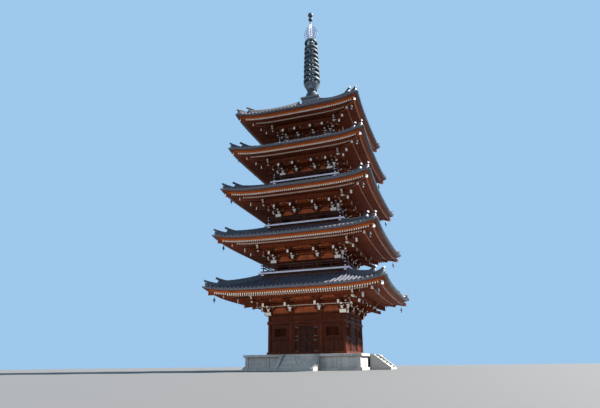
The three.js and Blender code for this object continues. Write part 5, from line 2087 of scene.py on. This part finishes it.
rings = Heap()
turned(rings, [(0, LOTUS_TOP - 0.03), (MAST_RADIUS, LOTUS_TOP - 0.03),
               (MAST_RADIUS * 0.8, FLAME[0] - GAP), (0, FLAME[0] - GAP)], segments=20)
for radius, z in zip(np.linspace(*RING_RADII, len(RING_HEIGHTS)), RING_HEIGHTS):
    spoked_ring(rings, radius, z)
make_piece("nine_spoked_rings", rings, [BRONZE], ["nine_rings"])

# %% [markdown]
# The flame is cast as four flat blades of openwork. Each blade has a curved outer rib, and
# tongues of flame that curl up and outward from the spindle between the rib and the middle.

# %% Water flame
FLAME_HALF = 0.745
SPINDLE_RADIUS = 0.07
RIB = [(0.06, 0.02), (0.35, 0.05), (0.66, 0.12), (0.88, 0.24), (0.985, 0.40), (0.94, 0.56),
       (0.78, 0.70), (0.60, 0.80), (0.48, 0.90), (0.52, 0.985)]
TONGUES = 7
TONGUE_CURL = [(0.62, 0.04, 0.03), (0.86, 0, 0.085), (0.92, 0, 0.135), (0.78, 0, 0.165),
               (0.62, 0, 0.150), (0.60, 0, 0.115)]


def ribbon(heap, path, width, thick, side):
    """A flat rib that follows a path in the plane of a blade and thins out to its end."""
    last = len(path) - 1
    stations = []
    for index, point in enumerate(path):
        axis = unit(path[min(index + 1, last)] - path[max(index - 1, 0)])
        half = width / 2 * (1 - 0.75 * index / last)
        stations.append((point, np.cross(axis, side) * half, side * thick / 2))
    sweep(heap, [(-1, -1), (-1, 1), (1, 1), (1, -1)], stations)


def flame_blade(heap, angle):
    outward = compass_point(angle)
    side = np.cross(UP, outward)
    low, high = FLAME

    def spots(places):
        return [outward * reach * FLAME_HALF + UP * (low + share * (high - low))
                for reach, share in places]

    ribbon(heap, spots(RIB), 0.13, 0.05, side)
    for base in np.arange(TONGUES) / TONGUES:
        foot = 0.06 + 0.80 * base
        reach = 0.86 * math.sin(math.pi * (0.20 + 0.66 * base)) * 0.98
        tongue = [(0.07, foot), (0.20 + 0.20 * reach, foot + 0.005)]
        tongue += [(share * reach + out, foot + rise) for share, out, rise in TONGUE_CURL]
        ribbon(heap, spots(tongue), 0.105, 0.045, side)


flame = Heap()
low, high = FLAME
turned(flame, [(0, low), (SPINDLE_RADIUS, low), (SPINDLE_RADIUS, high), (0, high)])
closed_ring(flame, [(SPINDLE_RADIUS, low + 0.01), (0.16, low + 0.03), (0.14, low + 0.12),
                    (SPINDLE_RADIUS, low + 0.16)], 16)
for turn in range(4):
    flame_blade(flame, turn * math.tau / 4)
make_piece("water_flame_blades", flame, [FLAME_BRONZE_SKY_PALE], ["water_flame"])

# %% Wheel and jewel
WHEEL_Z = 38.21
WHEEL_RADIUS = 0.25
JEWEL_Z = 38.85
JEWEL_RADIUS = 0.29
JEWEL_SHAPE = [(1, -0.04), (0.98, 0.05), (0.82, 0.16)]
FULL_HEIGHT = 39.35
SPINDLE_TOP = FLAME[1] + GAP

outline = [(0, SPINDLE_TOP), (SPINDLE_RADIUS, SPINDLE_TOP), (SPINDLE_RADIUS, WHEEL_Z - 0.30),
           (0.12, WHEEL_Z - 0.27), (0.10, WHEEL_Z - 0.21)]
for angle in np.linspace(-3, 3, 7) * math.pi / 8:
    outline.append((WHEEL_RADIUS * math.cos(angle), WHEEL_Z + WHEEL_RADIUS * 0.9 * math.sin(angle)))
outline += [(0.09, WHEEL_Z + 0.25), (0.08, WHEEL_Z + 0.32), (0.15, JEWEL_Z - 0.27),
            (0.23, JEWEL_Z - 0.19)]
outline += [(JEWEL_RADIUS * share, JEWEL_Z + rise) for share, rise in JEWEL_SHAPE]
outline += [(0.14, JEWEL_Z + 0.26), (0.06, JEWEL_Z + 0.34), (0.02, FULL_HEIGHT - 0.04),
            (0, FULL_HEIGHT)]
jewel = Heap()
turned(jewel, outline, segments=28)
make_piece("wheel_and_jewel", jewel, [BRONZE], ["jewel_finial"])


# %% [markdown]
# The last cell counts what was built.

# %% Finish
print("pieces:", len(PIECE_TRIANGLES), "triangles:", sum(PIECE_TRIANGLES.values()))
